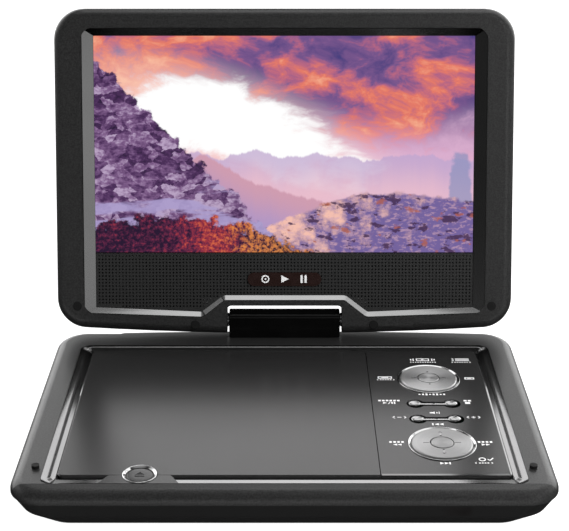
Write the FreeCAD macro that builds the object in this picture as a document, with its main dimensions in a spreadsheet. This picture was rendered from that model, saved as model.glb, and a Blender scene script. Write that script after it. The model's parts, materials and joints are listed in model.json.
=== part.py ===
import FreeCAD, Part
import math
import os

import Sketcher
from FreeCAD import Placement, Rotation, Vector

# A portable disc player: a flat base with a loading door and a key panel, and a display
# lid on a turret that swivels about an upright shaft and tilts on two friction pins.
# Millimetres.  +Z is up, the user looks along +Y, and the origin is under the middle of
# the open player's bounding box, on the surface that it stands on.

SIZES = {
    # The case: one outline serves the base and the lid, bulged towards the hinge.
    "case_width": 250,
    "case_corner": 16.5,
    "bulge_radius": 1832,
    "front_edge": 112,
    "rear_edge": 66,
    # Heights of the base.
    "floor_bottom": 1.6,
    "floor_inset": 12,
    "skirt_top": 9.5,
    "skirt_inset": 4.2,
    "seam": 18,
    "rim_top": 24,
    "rim_round": 5.5,
    "wall": 2.2,
    "upper_wall": 3,
    "skin": 2,
    # The bevelled trim round the door and the key panel.
    "trim_outer": 110.6,
    "trim_inner": 104.6,
    "trim_front_outer": 102.8,
    "trim_front_inner": 94.4,
    "trim_rear_inner": 38.9,
    "trim_rear_outer": 43.2,
    "trim_bottom": 20.4,
    "trim_inner_top": 21.7,
    # The door and the key panel, which share the trim's opening.
    "plate_top": 23,
    "door_left": 104.2,
    "door_right": 43.8,
    "door_front": 94,
    "door_rear": 38,
    "door_thick": 2.2,
    "door_pivot_y": 36.3,
    "door_pivot_z": 20.8,
    "panel_left": 44.2,
    "panel_right": 104.2,
    "panel_bottom": 20.4,
    # The disc, its well and the loader.
    "disc_x": -30,
    "disc_y": -28,
    "well_radius": 62,
    "well_floor": 16,
    "land_top": 20.4,
    "hub_hole": 13,
    "disc_seat": 17.2,
    "hub_top": 20.3,
    "hub_radius": 7.4,
    "motor_radius": 11,
    "loader_floor": 5.2,
    "rod_height": 10.5,
    "rod_offset": 17,
    "sled_start": 23,
    # The opening button and its housing.
    "button_x": -66,
    "button_y": -94.6,
    "button_radius": 6.2,
    "housing_radius": 8,
    "housing_top": 23.6,
    # The two round pads and the two rockers.
    "pad_x": 75,
    "rear_pad_y": 4,
    "front_pad_y": -64.7,
    "pad_radius": 14.7,
    "pad_hole": 16.4,
    "pad_top": 23.8,
    "centre_radius": 5.4,
    "rocker_reach": 9.1,
    "rocker_end": 4.1,
    "play_y": -23.5,
    "volume_y": -39.8,
    "key_board_top": 17.8,
    # The swivel and the tilt hinge.
    "axis_y": 58,
    "axis_z": 32.9,
    "shaft_radius": 3.2,
    "turret_half": 30.5,
    "turret_depth": 10.4,
    "pin_radius": 2.2,
    # The lid, in its own frame: the tilt axis is at zero and the lid stands up from it.
    "lid_lean": 16.7,
    "lid_top": 170,
    "lid_bottom": 7.3,
    "lid_half": 7,
    "lid_round": 5,
    "notch_half": 31.7,
    "notch_top": 8.5,
    "notch_round": 2.6,
    "wide_bend": 5,
    "tight_bend": 2.2,
    "bevel_outer": 110,
    "bevel_inner": 103.6,
    "bevel_top_outer": 159.4,
    "bevel_top_inner": 155.3,
    "screen_bottom": 37.1,
    "glass_face": 4.6,
}


class Size(float):
    """A length that remembers the spreadsheet expression it was worked out from."""

    def __new__(cls, value, text=None):
        size = super().__new__(cls, value)
        size.text = text or f"({float(value)!r})"
        return size

    def joined(self, sign, other, value, swapped=False):
        other_text = other.text if isinstance(other, Size) else Size(other).text
        left, right = (other_text, self.text) if swapped else (self.text, other_text)
        return Size(value, f"({left} {sign} {right})")

    def __add__(self, other):
        return self.joined("+", other, float(self) + float(other))

    def __radd__(self, other):
        return self.joined("+", other, float(other) + float(self), swapped=True)

    def __sub__(self, other):
        return self.joined("-", other, float(self) - float(other))

    def __rsub__(self, other):
        return self.joined("-", other, float(other) - float(self), swapped=True)

    def __mul__(self, other):
        return self.joined("*", other, float(self) * float(other))

    def __rmul__(self, other):
        return self.joined("*", other, float(other) * float(self), swapped=True)

    def __truediv__(self, other):
        return self.joined("/", other, float(self) / float(other))

    def __neg__(self):
        return self * -1


class Dimensions:
    """The spreadsheet's cells, each an attribute under its alias."""

    def __init__(self, document):
        sheet = document.addObject("Spreadsheet::Sheet", "sizes")
        for row, (alias, number) in enumerate(SIZES.items(), 1):
            sheet.set(f"A{row}", alias)
            sheet.set(f"B{row}", str(number))
            sheet.setAlias(f"B{row}", alias)
            setattr(self, alias, Size(number, f"sizes.{alias}"))
        document.recompute()


doc = FreeCAD.newDocument("DiscPlayer")
d = Dimensions(doc)
nodes = {}


# ---------------------------------------------------------------- helpers


def bind(piece, **values):
    """Give a feature's properties their values, tied to the spreadsheet where they can be."""
    for name, value in values.items():
        setattr(piece, name, float(value))
        if isinstance(value, Size):
            piece.setExpression(name, value.text)


def place(piece, x=0, y=0, z=0, turn=None):
    """Put a piece at a point, turned by a rotation."""
    piece.Placement = Placement(Vector(x, y, z), turn or Rotation())
    for letter, value in (("x", x), ("y", y), ("z", z)):
        if isinstance(value, Size):
            piece.setExpression(f"Placement.Base.{letter}", value.text)
    return piece


def block(name, xs, ys, zs):
    """A box that spans three pairs of coordinates."""
    piece = doc.addObject("Part::Box", name)
    bind(piece, Length=xs[1] - xs[0], Width=ys[1] - ys[0], Height=zs[1] - zs[0])
    return place(piece, xs[0], ys[0], zs[0])


ALONG = {
    "x": Rotation(Vector(0, 1, 0), 90),
    "y": Rotation(Vector(1, 0, 0), -90),
    "z": Rotation(),
}


def rod(name, along, centre, radius, start, end):
    """A cylinder along X, Y or Z; its centre is given by the other two coordinates."""
    piece = doc.addObject("Part::Cylinder", name)
    bind(piece, Radius=radius, Height=end - start)
    at = {"x": (start, *centre), "y": (centre[0], start, centre[1]), "z": (*centre, start)}
    return place(piece, *at[along], turn=ALONG[along])


def fuse(name, *pieces):
    joined = doc.addObject("Part::MultiFuse", name)
    joined.Shapes = list(pieces)
    joined.Refine = True
    return joined


def cut(name, base, *tools):
    result = doc.addObject("Part::Cut", name)
    result.Base = base
    result.Tool = tools[0] if len(tools) == 1 else fuse(name + "_tools", *tools)
    result.Refine = True
    return result


def group(name, *pieces):
    """Pieces that stay apart but share a node, such as a set of equal screws."""
    gathered = doc.addObject("Part::Compound", name)
    gathered.Links = list(pieces)
    return gathered


def tube(name, along, centre, outer, inner, start, end):
    solid = rod(name + "_outside", along, centre, outer, start, end)
    hole = rod(name + "_inside", along, centre, inner, start - 1, end + 1)
    return cut(name, solid, hole)


def ring_of(name, along, centre, outer, inner, start, end, radius=0.4):
    """A tube whose outer end edges are rounded."""
    return rounded(name, tube(name + "_sharp", along, centre, outer, inner, start, end), radius,
                   lambda edge: is_circle(edge, outer))


def is_circle(edge, radius):
    return edge.Curve.TypeId == "Part::GeomCircle" and abs(edge.Curve.Radius - radius) < 0.01


def rounded(name, piece, radius, wanted):
    """A fillet on the edges that a test picks."""
    doc.recompute()
    fillet = doc.addObject("Part::Fillet", name)
    fillet.Base = piece
    fillet.Edges = [(number, float(radius), float(radius))
                    for number, edge in enumerate(piece.Shape.Edges, 1) if wanted(edge)]
    return fillet


def node(piece, label, on_lid=False):
    """Name a finished sub-part, and stand it up with the lid if it belongs there."""
    if on_lid:
        turn = Placement(Vector(0, d.axis_y, d.axis_z), Rotation(Vector(-1, 0, 0), d.lid_lean))
        for letter in "xyz":
            piece.setExpression(f"Placement.Base.{letter}", None)
        piece.Placement = turn.multiply(piece.Placement)
    piece.Label = label
    nodes[label] = piece
    return piece


def mirrored_pair(name, make):
    """The left and the right piece that one function makes for side -1 and side +1."""
    return group(name, make(-1), make(1))


# ---------------------------------------------------------------- sketches


def new_body(name):
    return doc.addObject("PartDesign::Body", name)


def sketch_on(body, name, plane="XY_Plane", offset=0):
    sketch = body.newObject("Sketcher::SketchObject", name)
    base = next(item for item in body.Origin.OriginFeatures if item.Role == plane)
    sketch.AttachmentSupport = [(base, "")]
    sketch.MapMode = "FlatFace"
    sketch.AttachmentOffset = Placement(Vector(0, 0, offset), Rotation())
    if isinstance(offset, Size):
        sketch.setExpression("AttachmentOffset.Base.z", offset.text)
    return sketch


def hold(sketch, constraint, value):
    """Add a dimension and tie it to the spreadsheet."""
    index = sketch.addConstraint(constraint)
    if isinstance(value, Size):
        sketch.setExpression(f"Constraints[{index}]", value.text)


def pin(sketch, piece, end, x=None, y=None):
    """Fix a point of a sketch by its distance from the origin."""
    for kind, axis, value in (("DistanceX", -2, x), ("DistanceY", -1, y)):
        if value is None:
            continue
        if abs(value) < 1e-9:
            sketch.addConstraint(Sketcher.Constraint("PointOnObject", piece, end, axis))
        elif value > 0:
            hold(sketch, Sketcher.Constraint(kind, -1, 1, piece, end, float(value)), value)
        else:
            hold(sketch, Sketcher.Constraint(kind, piece, end, -1, 1, -float(value)), -value)


def polygon(sketch, points, bends=None):
    """A closed outline of straight lines, each corner fixed.

    bends gives the radius of each corner that is rounded, by its number in points.
    """
    first = sketch.GeometryCount
    count = len(points)
    corners = [Vector(x, y, 0) for x, y in points]
    for number, corner in enumerate(corners):
        sketch.addGeometry(Part.LineSegment(corner, corners[(number + 1) % count]), False)
    for number in range(count):
        following = first + (number + 1) % count
        sketch.addConstraint(Sketcher.Constraint("Coincident", first + number, 2, following, 1))
    for number, (x, y) in enumerate(points):
        pin(sketch, first + number, 1, x, y)
    for number, radius in (bends or {}).items():
        round_piece = sketch.GeometryCount
        sketch.fillet(first + number, 1, float(radius), True, True)
        hold(sketch, Sketcher.Constraint("Radius", round_piece, float(radius)), radius)


def rectangle(sketch, xs, ys):
    polygon(sketch, [(xs[0], ys[0]), (xs[1], ys[0]), (xs[1], ys[1]), (xs[0], ys[1])])


def rounded_rectangle(sketch, xs, ys, radius):
    """A rectangle whose corners are tangent arcs."""
    (left, right), (low, high) = xs, ys
    inner = (left + radius, right - radius, low + radius, high - radius)
    quarter = math.pi / 2
    sides = [((inner[0], low), (inner[1], low)), ((right, inner[2]), (right, inner[3])),
             ((inner[1], high), (inner[0], high)), ((left, inner[3]), (left, inner[2]))]
    lines = [sketch.addGeometry(Part.LineSegment(Vector(*a, 0), Vector(*b, 0)), False)
             for a, b in sides]
    centres = [(inner[1], inner[2]), (inner[1], inner[3]),
               (inner[0], inner[3]), (inner[0], inner[2])]
    arcs = [arc(sketch, *centre, radius, (turn - 1) * quarter, turn * quarter)
            for turn, centre in enumerate(centres)]
    for number in range(4):
        following = lines[(number + 1) % 4]
        sketch.addConstraint(Sketcher.Constraint("Tangent", lines[number], 2, arcs[number], 1))
        sketch.addConstraint(Sketcher.Constraint("Tangent", arcs[number], 2, following, 1))
    for number, kind in enumerate(("Horizontal", "Vertical", "Horizontal", "Vertical")):
        sketch.addConstraint(Sketcher.Constraint(kind, lines[number]))
    for other in arcs[1:]:
        sketch.addConstraint(Sketcher.Constraint("Equal", arcs[0], other))
    hold(sketch, Sketcher.Constraint("Radius", arcs[0], float(radius)), radius)
    pin(sketch, lines[0], 1, y=low)
    pin(sketch, lines[1], 1, x=right)
    pin(sketch, lines[2], 1, y=high)
    pin(sketch, lines[3], 1, x=left)


def circle(sketch, x, y, radius):
    number = sketch.addGeometry(Part.Circle(Vector(x, y, 0), Vector(0, 0, 1), radius), False)
    hold(sketch, Sketcher.Constraint("Radius", number, float(radius)), radius)
    pin(sketch, number, 3, x, y)


def arc(sketch, x, y, radius, start, end):
    full = Part.Circle(Vector(x, y, 0), Vector(0, 0, 1), radius)
    return sketch.addGeometry(Part.ArcOfCircle(full, start, end), False)


def case_outline(sketch, inset, straight, bulged, side, corner=None):
    """The case's outline, drawn in from its edge by inset.

    The straight edge and the bulged edge are those distances from the origin, and side
    is +1 where the bulged edge lies towards the sketch's +Y.
    """
    half = d.case_width / 2 - inset
    corner = corner or d.case_corner - inset
    bulge = d.bulge_radius - inset
    front = -side * (straight - inset)
    bulge_y = side * (bulged - d.bulge_radius)
    corner_x = half - corner
    front_y = front + side * corner
    rear_y = float(bulge_y) + side * math.sqrt((bulge - corner) ** 2 - corner_x ** 2)
    lean = math.atan2(abs(rear_y - bulge_y), corner_x)

    def turned(low, high):
        """The two ends of an arc, mirrored where the outline is upside down."""
        return (low, high) if side > 0 else (-high, -low)

    quarter = math.pi / 2
    front_line = sketch.addGeometry(
        Part.LineSegment(Vector(-corner_x, front, 0), Vector(corner_x, front, 0)), False)
    right_line = sketch.addGeometry(
        Part.LineSegment(Vector(half, front_y, 0), Vector(half, rear_y, 0)), False)
    left_line = sketch.addGeometry(
        Part.LineSegment(Vector(-half, front_y, 0), Vector(-half, rear_y, 0)), False)
    front_right = arc(sketch, corner_x, front_y, corner, *turned(-quarter, 0))
    front_left = arc(sketch, -corner_x, front_y, corner, *turned(2 * quarter, 3 * quarter))
    rear_right = arc(sketch, corner_x, rear_y, corner, *turned(0, lean))
    rear_left = arc(sketch, -corner_x, rear_y, corner, *turned(math.pi - lean, math.pi))
    rear = arc(sketch, 0, bulge_y, bulge, *turned(lean, math.pi - lean))

    first, last = (1, 2) if side > 0 else (2, 1)
    joints = [
        (front_line, 2, front_right, first), (front_right, last, right_line, 1),
        (right_line, 2, rear_right, first), (rear_right, last, rear, first),
        (rear, last, rear_left, first), (rear_left, last, left_line, 2),
        (left_line, 1, front_left, first), (front_left, last, front_line, 1),
    ]
    for joint in joints:
        sketch.addConstraint(Sketcher.Constraint("Tangent", *joint))
    sketch.addConstraint(Sketcher.Constraint("Horizontal", front_line))
    for line in (right_line, left_line):
        sketch.addConstraint(Sketcher.Constraint("Vertical", line))
    for other in (front_left, rear_right, rear_left):
        sketch.addConstraint(Sketcher.Constraint("Equal", front_right, other))
    hold(sketch, Sketcher.Constraint("Radius", front_right, float(corner)), corner)
    hold(sketch, Sketcher.Constraint("Radius", rear, float(bulge)), bulge)
    pin(sketch, right_line, 1, x=half)
    pin(sketch, left_line, 1, x=-half)
    pin(sketch, front_line, 1, y=front)
    pin(sketch, rear, 3, 0, bulge_y)


def base_outline(sketch, inset, corner=None):
    case_outline(sketch, inset, d.front_edge, d.rear_edge, 1, corner)


def lid_outline(sketch, inset):
    case_outline(sketch, inset, d.lid_top, d.lid_bottom, -1)


def pad(body, sketch, length, reverse=False):
    """Add material along the sketch's normal, or against it."""
    feature = body.newObject("PartDesign::Pad", sketch.Name + "_pad")
    feature.Profile = sketch
    feature.Reversed = reverse
    bind(feature, Length=length)
    return feature


def pocket(body, sketch, depth, reverse=False):
    """Take material away against the sketch's normal, or along it where reversed."""
    before = body.Tip
    doc.recompute()
    volume = before.Shape.Volume
    feature = body.newObject("PartDesign::Pocket", sketch.Name + "_pocket")
    feature.Profile = sketch
    feature.Reversed = reverse
    bind(feature, Length=depth)
    doc.recompute()
    assert feature.Shape.Volume < volume - 0.01, f"{feature.Name} takes nothing away"
    return feature


def loft(body, kind, sketches, ruled=True):
    feature = body.newObject(f"PartDesign::{kind}", sketches[0].Name + "_loft")
    feature.Profile = sketches[0]
    feature.Sections = sketches[1:]
    feature.Ruled = ruled
    return feature


def dress(body, kind, size, wanted):
    """A fillet or a chamfer on the body's edges that a test picks."""
    doc.recompute()
    base = body.Tip
    names = [f"Edge{number}" for number, edge in enumerate(base.Shape.Edges, 1) if wanted(edge)]
    assert names, f"{body.Name}: no edge to dress"
    feature = body.newObject(f"PartDesign::{kind}", f"{body.Name}_{kind}")
    feature.Base = (base, names)
    bind(feature, **{"Radius" if kind == "Fillet" else "Size": size})
    return feature


def lies_at(edge, axis, value):
    """True where an edge lies whole in the plane at a value of X, Y or Z."""
    box = edge.BoundBox
    low, high = {"x": (box.XMin, box.XMax), "y": (box.YMin, box.YMax),
                 "z": (box.ZMin, box.ZMax)}[axis]
    return abs(low - value) < 0.01 and abs(high - value) < 0.01


def stands_up(edge):
    """True for a straight edge along Z."""
    box = edge.BoundBox
    return box.XLength < 0.01 and box.YLength < 0.01 and box.ZLength > 0.1


def runs_through(edge):
    """True for a straight edge along Y, which is a corner of a lid sketch."""
    box = edge.BoundBox
    return box.XLength < 0.01 and box.ZLength < 0.01 and box.YLength > 0.1


def plate(name, xs, ys, zs, corner):
    """A flat plate with rounded corners."""
    body = new_body(name)
    sketch = sketch_on(body, name + "_outline", offset=zs[0])
    rectangle(sketch, xs, ys)
    pad(body, sketch, zs[1] - zs[0])
    dress(body, "Fillet", corner, stands_up)
    return body


# ---------------------------------------------------------------- the base's case


def base_upper_shell():
    """The top half of the base: a rounded rim, open in the middle for the deck."""
    body = new_body("upper_shell_body")
    outside = sketch_on(body, "upper_outline", offset=d.seam)
    base_outline(outside, 0)
    pad(body, outside, d.rim_top - d.seam)
    dress(body, "Fillet", d.rim_round, lambda edge: lies_at(edge, "z", d.rim_top))
    hollow = sketch_on(body, "upper_hollow", offset=d.seam)
    base_outline(hollow, d.upper_wall)
    pocket(body, hollow, d.rim_top - d.skin - d.seam, reverse=True)
    opening = sketch_on(body, "deck_opening", offset=d.rim_top)
    edge = 0.2
    rounded_rectangle(opening, (-d.trim_outer - edge, d.trim_outer + edge),
                      (-d.trim_front_outer - edge, d.trim_rear_outer + edge), Size(5))
    pocket(body, opening, d.rim_top - d.seam)
    bore = sketch_on(body, "swivel_bore", offset=d.rim_top)
    circle(bore, 0, d.axis_y, d.shaft_radius + 0.1)
    pocket(body, bore, d.skin)
    node(body, "base_upper_shell")


def hull_levels():
    """Height, inset and corner radius of the lower shell's three outlines."""
    return [(d.floor_bottom, d.floor_inset, Size(15)), (d.skirt_top, d.skirt_inset, Size(15.5)),
            (d.seam, Size(0.3), d.case_corner - 0.3)]


BAY_Y = (-46, 36)
BAY_FACE = 119.6
BAY_WALL = 2.2
PORT_Z = 13.6
BOSSES = [(-86, -90), (86, -90), (-86, 46), (86, 46)]
IR_WINDOW = ((72.5, 84), (-114, -104), (10.6, 17))
HEADPHONES_Y = (-38, -27)
AV_Y = -15
DC_Y = -2
SWITCH_Y = 16
USB_Y = -26
CARD_Y = 4


def base_lower_shell():
    """The bottom half of the base: a hull that draws in twice towards its floor."""
    body = new_body("lower_shell_body")

    def stack(kind, gap, lift):
        outlines = []
        for number, (height, inset, corner) in enumerate(hull_levels()):
            at = height + lift if number == 0 else height
            outline = sketch_on(body, f"{kind}_{number}", offset=at)
            base_outline(outline, inset + gap, corner - gap)
            outlines.append(outline)
        loft(body, kind, outlines)

    stack("AdditiveLoft", Size(0), 0)
    stack("SubtractiveLoft", d.wall, d.skin)

    boss_radius, boss_top = 3, 17
    bosses = [rod(f"boss_{number}", "z", at, boss_radius, d.floor_bottom + 1, boss_top)
              for number, at in enumerate(BOSSES)]
    bay_z = (d.skirt_top, d.seam)
    bays = [block(f"bay_{number}", xs, BAY_Y, bay_z) for number, xs in enumerate(
        [(BAY_FACE - BAY_WALL, BAY_FACE + 1), (-BAY_FACE - 1, BAY_WALL - BAY_FACE)])]
    solid = fuse("lower_shell_solid", body, *bosses, *bays)

    tools = []
    for number, at in enumerate(BOSSES):
        tools.append(rod(f"screw_hole_{number}", "z", at, 1.3, 0, boss_top - 1))
        tools.append(rod(f"screw_seat_{number}", "z", at, 2.9, 0, 3.5))
    recess_y = (BAY_Y[0] + 2, BAY_Y[1] - 2)
    recess_z = (d.skirt_top + 0.6, d.seam - 0.8)
    tools.append(block("bay_recess_right", (BAY_FACE, 128), recess_y, recess_z))
    tools.append(block("bay_recess_left", (-128, -BAY_FACE), recess_y, recess_z))
    for number, y in enumerate((*HEADPHONES_Y, AV_Y)):
        tools.append(rod(f"jack_hole_{number}", "x", (y, PORT_Z), 3.1, 110, 121))
    tools.append(rod("power_hole", "x", (DC_Y, PORT_Z), 3.7, 110, 121))
    tools.append(block("switch_slot", (110, 121), (SWITCH_Y - 4.4, SWITCH_Y + 4.4),
                       (PORT_Z - 1.6, PORT_Z + 1.6)))
    tools.append(block("usb_hole", (-121, -110), (USB_Y - 6.7, USB_Y + 6.7),
                       (PORT_Z - 3, PORT_Z + 3)))
    tools.append(block("card_hole", (-121, -110), (CARD_Y - 13.6, CARD_Y + 13.6),
                       (PORT_Z - 2, PORT_Z + 2)))
    tools.append(block("window_hole", *IR_WINDOW))
    node(cut("lower_shell", solid, *tools), "base_lower_shell")

    window = doc.addObject("Part::Common", "window_piece")
    window.Base = body
    window.Tool = block("window_block", *IR_WINDOW)
    node(window, "ir_window")


def base_screws():
    """Four screws that hold the two halves together."""
    screws = []
    for number, at in enumerate(BOSSES):
        head = rod(f"screw_head_{number}", "z", at, 2.6, 1.9, 3.5)
        shank = rod(f"screw_shank_{number}", "z", at, 1.2, 3.5, 15)
        screws.append(fuse(f"screw_{number}", head, shank))
    node(group("screws", *screws), "base_screws")


def rubber_feet():
    feet = [rounded(f"foot_{number}_round", rod(f"foot_{number}", "z", at, 6, 0, d.floor_bottom),
                    0.4, lambda edge: is_circle(edge, 6) and lies_at(edge, "z", 0))
            for number, at in enumerate([(-98, -82), (98, -82), (-98, 38), (98, 38)])]
    node(group("feet", *feet), "rubber_feet")


def closing_pegs():
    """Two soft pegs on the rim that the closed lid rests near."""
    node(mirrored_pair("pegs", lambda side: rod(
        f"peg_{side + 1}", "z", (side * 114.5, -88.5), 1.8, d.rim_top, d.rim_top + 1.5)),
        "closing_pegs")


def base_trim_frame():
    """The bevelled frame round the deck, with the opening button's housing."""
    body = new_body("trim_body")
    across = (-d.trim_outer, d.trim_outer)
    along = (-d.trim_front_outer, d.trim_rear_outer)
    outside = sketch_on(body, "trim_outline", offset=d.trim_bottom)
    rounded_rectangle(outside, across, along, Size(5))
    pad(body, outside, d.rim_top - d.trim_bottom)
    inner_across = (-d.trim_inner, d.trim_inner)
    inner_along = (-d.trim_front_inner, d.trim_rear_inner)
    opening = sketch_on(body, "trim_opening", offset=d.rim_top)
    rounded_rectangle(opening, inner_across, inner_along, Size(1))
    pocket(body, opening, d.rim_top - d.trim_bottom)
    low = sketch_on(body, "slope_low", offset=d.trim_inner_top)
    rounded_rectangle(low, inner_across, inner_along, Size(1))
    high = sketch_on(body, "slope_high", offset=d.rim_top)
    lip = 0.5
    rounded_rectangle(high, (lip - d.trim_outer, d.trim_outer - lip),
                      (lip - d.trim_front_outer, d.trim_rear_outer - lip), Size(4.5))
    loft(body, "SubtractiveLoft", [low, high])

    tab = sketch_on(body, "tab", offset=d.trim_bottom)
    wide, narrow = 18.5, 14.3
    polygon(tab, [(d.button_x - wide, d.button_y - 6.8), (d.button_x + wide, d.button_y - 6.8),
                  (d.button_x + narrow, d.button_y - 0.6), (d.button_x - narrow, d.button_y - 0.6)])
    pad(body, tab, d.housing_top - d.trim_bottom)
    housing = sketch_on(body, "housing", offset=d.trim_bottom)
    circle(housing, d.button_x, d.button_y, d.housing_radius)
    pad(body, housing, d.housing_top - d.trim_bottom)
    seat = sketch_on(body, "ring_seat", offset=d.rim_top)
    circle(seat, d.button_x, d.button_y, d.housing_radius + 0.1)
    pocket(body, seat, d.rim_top - d.housing_top)
    bore = sketch_on(body, "button_bore", offset=d.housing_top)
    circle(bore, d.button_x, d.button_y, d.button_radius + 0.25)
    pocket(body, bore, d.housing_top - d.trim_bottom)
    node(body, "base_trim_frame")


# ---------------------------------------------------------------- deck, door, latch

LUGS_X = (-97.5, 37.5)


def disc_deck():
    """The moulding under the door and the key panel, with the disc's round well."""
    land_z = (d.land_top - 2, d.land_top)
    land = block("land", (-109, 109), (-101, 42.5), land_z)
    centre = (d.disc_x, d.disc_y)
    bowl = rod("bowl", "z", centre, d.well_radius + 1.5, d.well_floor - 1.6, d.land_top)
    lug_posts = []
    for number, x in enumerate(LUGS_X):
        post = block(f"lug_post_{number}", (x - 1, x + 1),
                     (d.door_pivot_y - 1, d.door_pivot_y + 1), (d.land_top - 1.5, d.door_pivot_z))
        eye = rod(f"lug_eye_{number}", "x", (d.door_pivot_y, d.door_pivot_z), 1.4, x - 1, x + 1)
        lug_posts += [post, eye]
    tools = [
        rod("well", "z", centre, d.well_radius, d.well_floor, 30),
        rod("hub_opening", "z", centre, d.hub_hole, 10, 30),
        block("lens_slot", (-14, 31.5), (d.disc_y - 8, d.disc_y + 8), (10, 30)),
        block("key_window", (50, 100), (-85, 33), (10, 30)),
        block("hinge_trench", (-105, 44.5), (34.2, 39), (d.land_top - 1.4, 30)),
        block("catch_slot", (d.button_x - 5.5, d.button_x + 5.5), (-89.6, -83.4), (10, 30)),
        rod("stem_hole", "z", (d.button_x, d.button_y), 2.5, 10, 30),
    ]
    floor = cut("deck_floor", fuse("deck_solid", land, bowl), *tools)
    eyes = [rod(f"lug_bore_{number}", "x", (d.door_pivot_y, d.door_pivot_z), 0.9, x - 2, x + 2)
            for number, x in enumerate(LUGS_X)]
    node(cut("deck", fuse("deck_with_lugs", floor, *lug_posts), *eyes), "disc_deck")


def disc_door():
    """The loading door, with its two hinge knuckles and the catch under its front edge."""
    body = new_body("door_body")
    under = d.plate_top - d.door_thick
    outline = sketch_on(body, "door_outline", offset=under)
    rectangle(outline, (-d.door_left, d.door_right), (-d.door_front, d.door_rear))
    pad(body, outline, d.door_thick)
    dress(body, "Fillet", Size(1.5), lambda edge: lies_at(edge, "z", d.plate_top)
          and lies_at(edge, "y", d.door_rear))
    dress(body, "Fillet", Size(3), lambda edge: stands_up(edge)
          and lies_at(edge, "x", -d.door_left) and lies_at(edge, "y", -d.door_front))
    dress(body, "Chamfer", Size(0.6), lambda edge: lies_at(edge, "z", d.plate_top)
          and lies_at(edge, "y", -d.door_front))
    notch = sketch_on(body, "button_notch", offset=d.plate_top)
    circle(notch, d.button_x, d.button_y, d.housing_radius + 0.4)
    pocket(body, notch, d.door_thick)

    pivot = (d.door_pivot_y, d.door_pivot_z)
    gap = 1.4
    additions, pockets = [], []
    for number, x in enumerate(LUGS_X):
        for side in (-1, 1):
            near, far = sorted((x + side * gap, x + side * 4.5))
            additions.append(rod(f"knuckle_{number}_{side + 1}", "x", pivot, 1.5, near, far))
        pockets.append(block(f"lug_pocket_{number}", (x - gap, x + gap), (34, 40), (19, 22.4)))
        pockets.append(rod(f"pin_hole_{number}", "x", pivot, 0.8, x - 4, x + 4))
    catch_x = (d.button_x - 3, d.button_x + 3)
    additions.append(block("catch_arm", catch_x, (-86, -84.8), (15.6, under + 0.2)))
    additions.append(block("catch_hook", catch_x, (-87.6, -85.9), (15.6, 16.8)))
    additions.append(tube("door_rib", "z", (d.disc_x, d.disc_y), 22, 20, under - 0.5, under + 0.2))
    node(cut("door", fuse("door_solid", body, *additions), *pockets), "disc_door")

    pins = [rod(f"door_pin_{number}", "x", pivot, 0.8, x - 4, x + 4)
            for number, x in enumerate(LUGS_X)]
    node(group("door_pins", *pins), "door_hinge_pins")


def opening_button():
    """The round button, its bright ring, and the latch that it works."""
    at = (d.button_x, d.button_y)
    cap = rounded("button_cap_round",
                  rod("button_cap", "z", at, d.button_radius, 22, d.housing_top + 0.7), 0.6,
                  lambda edge: is_circle(edge, d.button_radius) and edge.BoundBox.ZMin > 23)
    stem = rod("button_stem", "z", at, 2, 19.9, 22)
    node(fuse("button", cap, stem), "open_button")
    node(ring_of("button_ring", "z", at, d.housing_radius, d.button_radius + 0.25,
                 d.housing_top, d.housing_top + 0.8, 0.35), "open_button_ring")
    slide = block("latch_slide", (d.button_x - 6, d.button_x + 6), (-100, -92), (16.8, 18.2))
    nose = block("latch_nose", (d.button_x - 2, d.button_x + 2), (-92, -87.9), (16.8, 18.2))
    node(fuse("latch", slide, nose), "door_latch")


# ---------------------------------------------------------------- keys


def key_panel():
    """The plate round the keys, with bright chamfers along its right and front edges."""
    body = new_body("panel_body")
    outline = sketch_on(body, "panel_outline", offset=d.panel_bottom)
    rectangle(outline, (d.panel_left, d.panel_right), (-d.door_front, d.door_rear + 0.3))
    pad(body, outline, d.plate_top - d.panel_bottom)
    dress(body, "Fillet", Size(3), lambda edge: stands_up(edge) and edge.BoundBox.XMin > 50)
    dress(body, "Chamfer", Size(0.9), lambda edge: edge.BoundBox.ZMin > d.plate_top - 0.01
          and edge.BoundBox.XMax > d.panel_left + 1)
    holes = sketch_on(body, "pad_holes", offset=d.plate_top)
    for y in (d.rear_pad_y, d.front_pad_y):
        circle(holes, d.pad_x, y, d.pad_hole)
    pocket(body, holes, d.plate_top - d.panel_bottom)
    tools = []
    for name, y in (("play", d.play_y), ("volume", d.volume_y)):
        for side in (-1, 1):
            tools.append(rod(f"{name}_slot_end_{side + 1}", "z",
                             (d.pad_x + side * d.rocker_reach, y), d.rocker_end + 0.4, 20, 24))
        tools.append(block(f"{name}_slot", (d.pad_x - d.rocker_reach, d.pad_x + d.rocker_reach),
                           (y - 2.2, y + 2.2), (20, 24)))
        tools.append(block(f"{name}_trunnion_seat", (d.pad_x - 1, d.pad_x + 1),
                           (y - 3.7, y + 3.7), (20, 22.3)))
    node(cut("panel", body, *tools), "control_panel_plate")


PAD_PIVOT_Z = 21.3


def pad_set(name, y):
    """A round pad that rocks four ways, its carrier, its ring and its centre button."""
    at = (d.pad_x, y)
    node(ring_of(f"{name}_ring", "z", at, d.pad_hole - 0.1, d.pad_radius + 0.3,
                 d.panel_bottom, d.plate_top + 0.5, 0.4), f"{name}_bezel")
    node(tube(f"{name}_gimbal", "z", at, 12, 6.2, 20.1, 20.9), f"{name}_carrier")
    node(ring_of(f"{name}_disc", "z", at, d.pad_radius, d.centre_radius + 0.4,
                 21.7, d.pad_top, 0.8), f"{name}_cap")
    centre = rod(f"{name}_centre_rod", "z", at, d.centre_radius, 20.3, d.pad_top + 0.2)
    node(rounded(f"{name}_centre_round", centre, 0.5,
                 lambda edge: is_circle(edge, d.centre_radius) and edge.BoundBox.ZMin > 23),
         f"{name}_centre")


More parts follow.
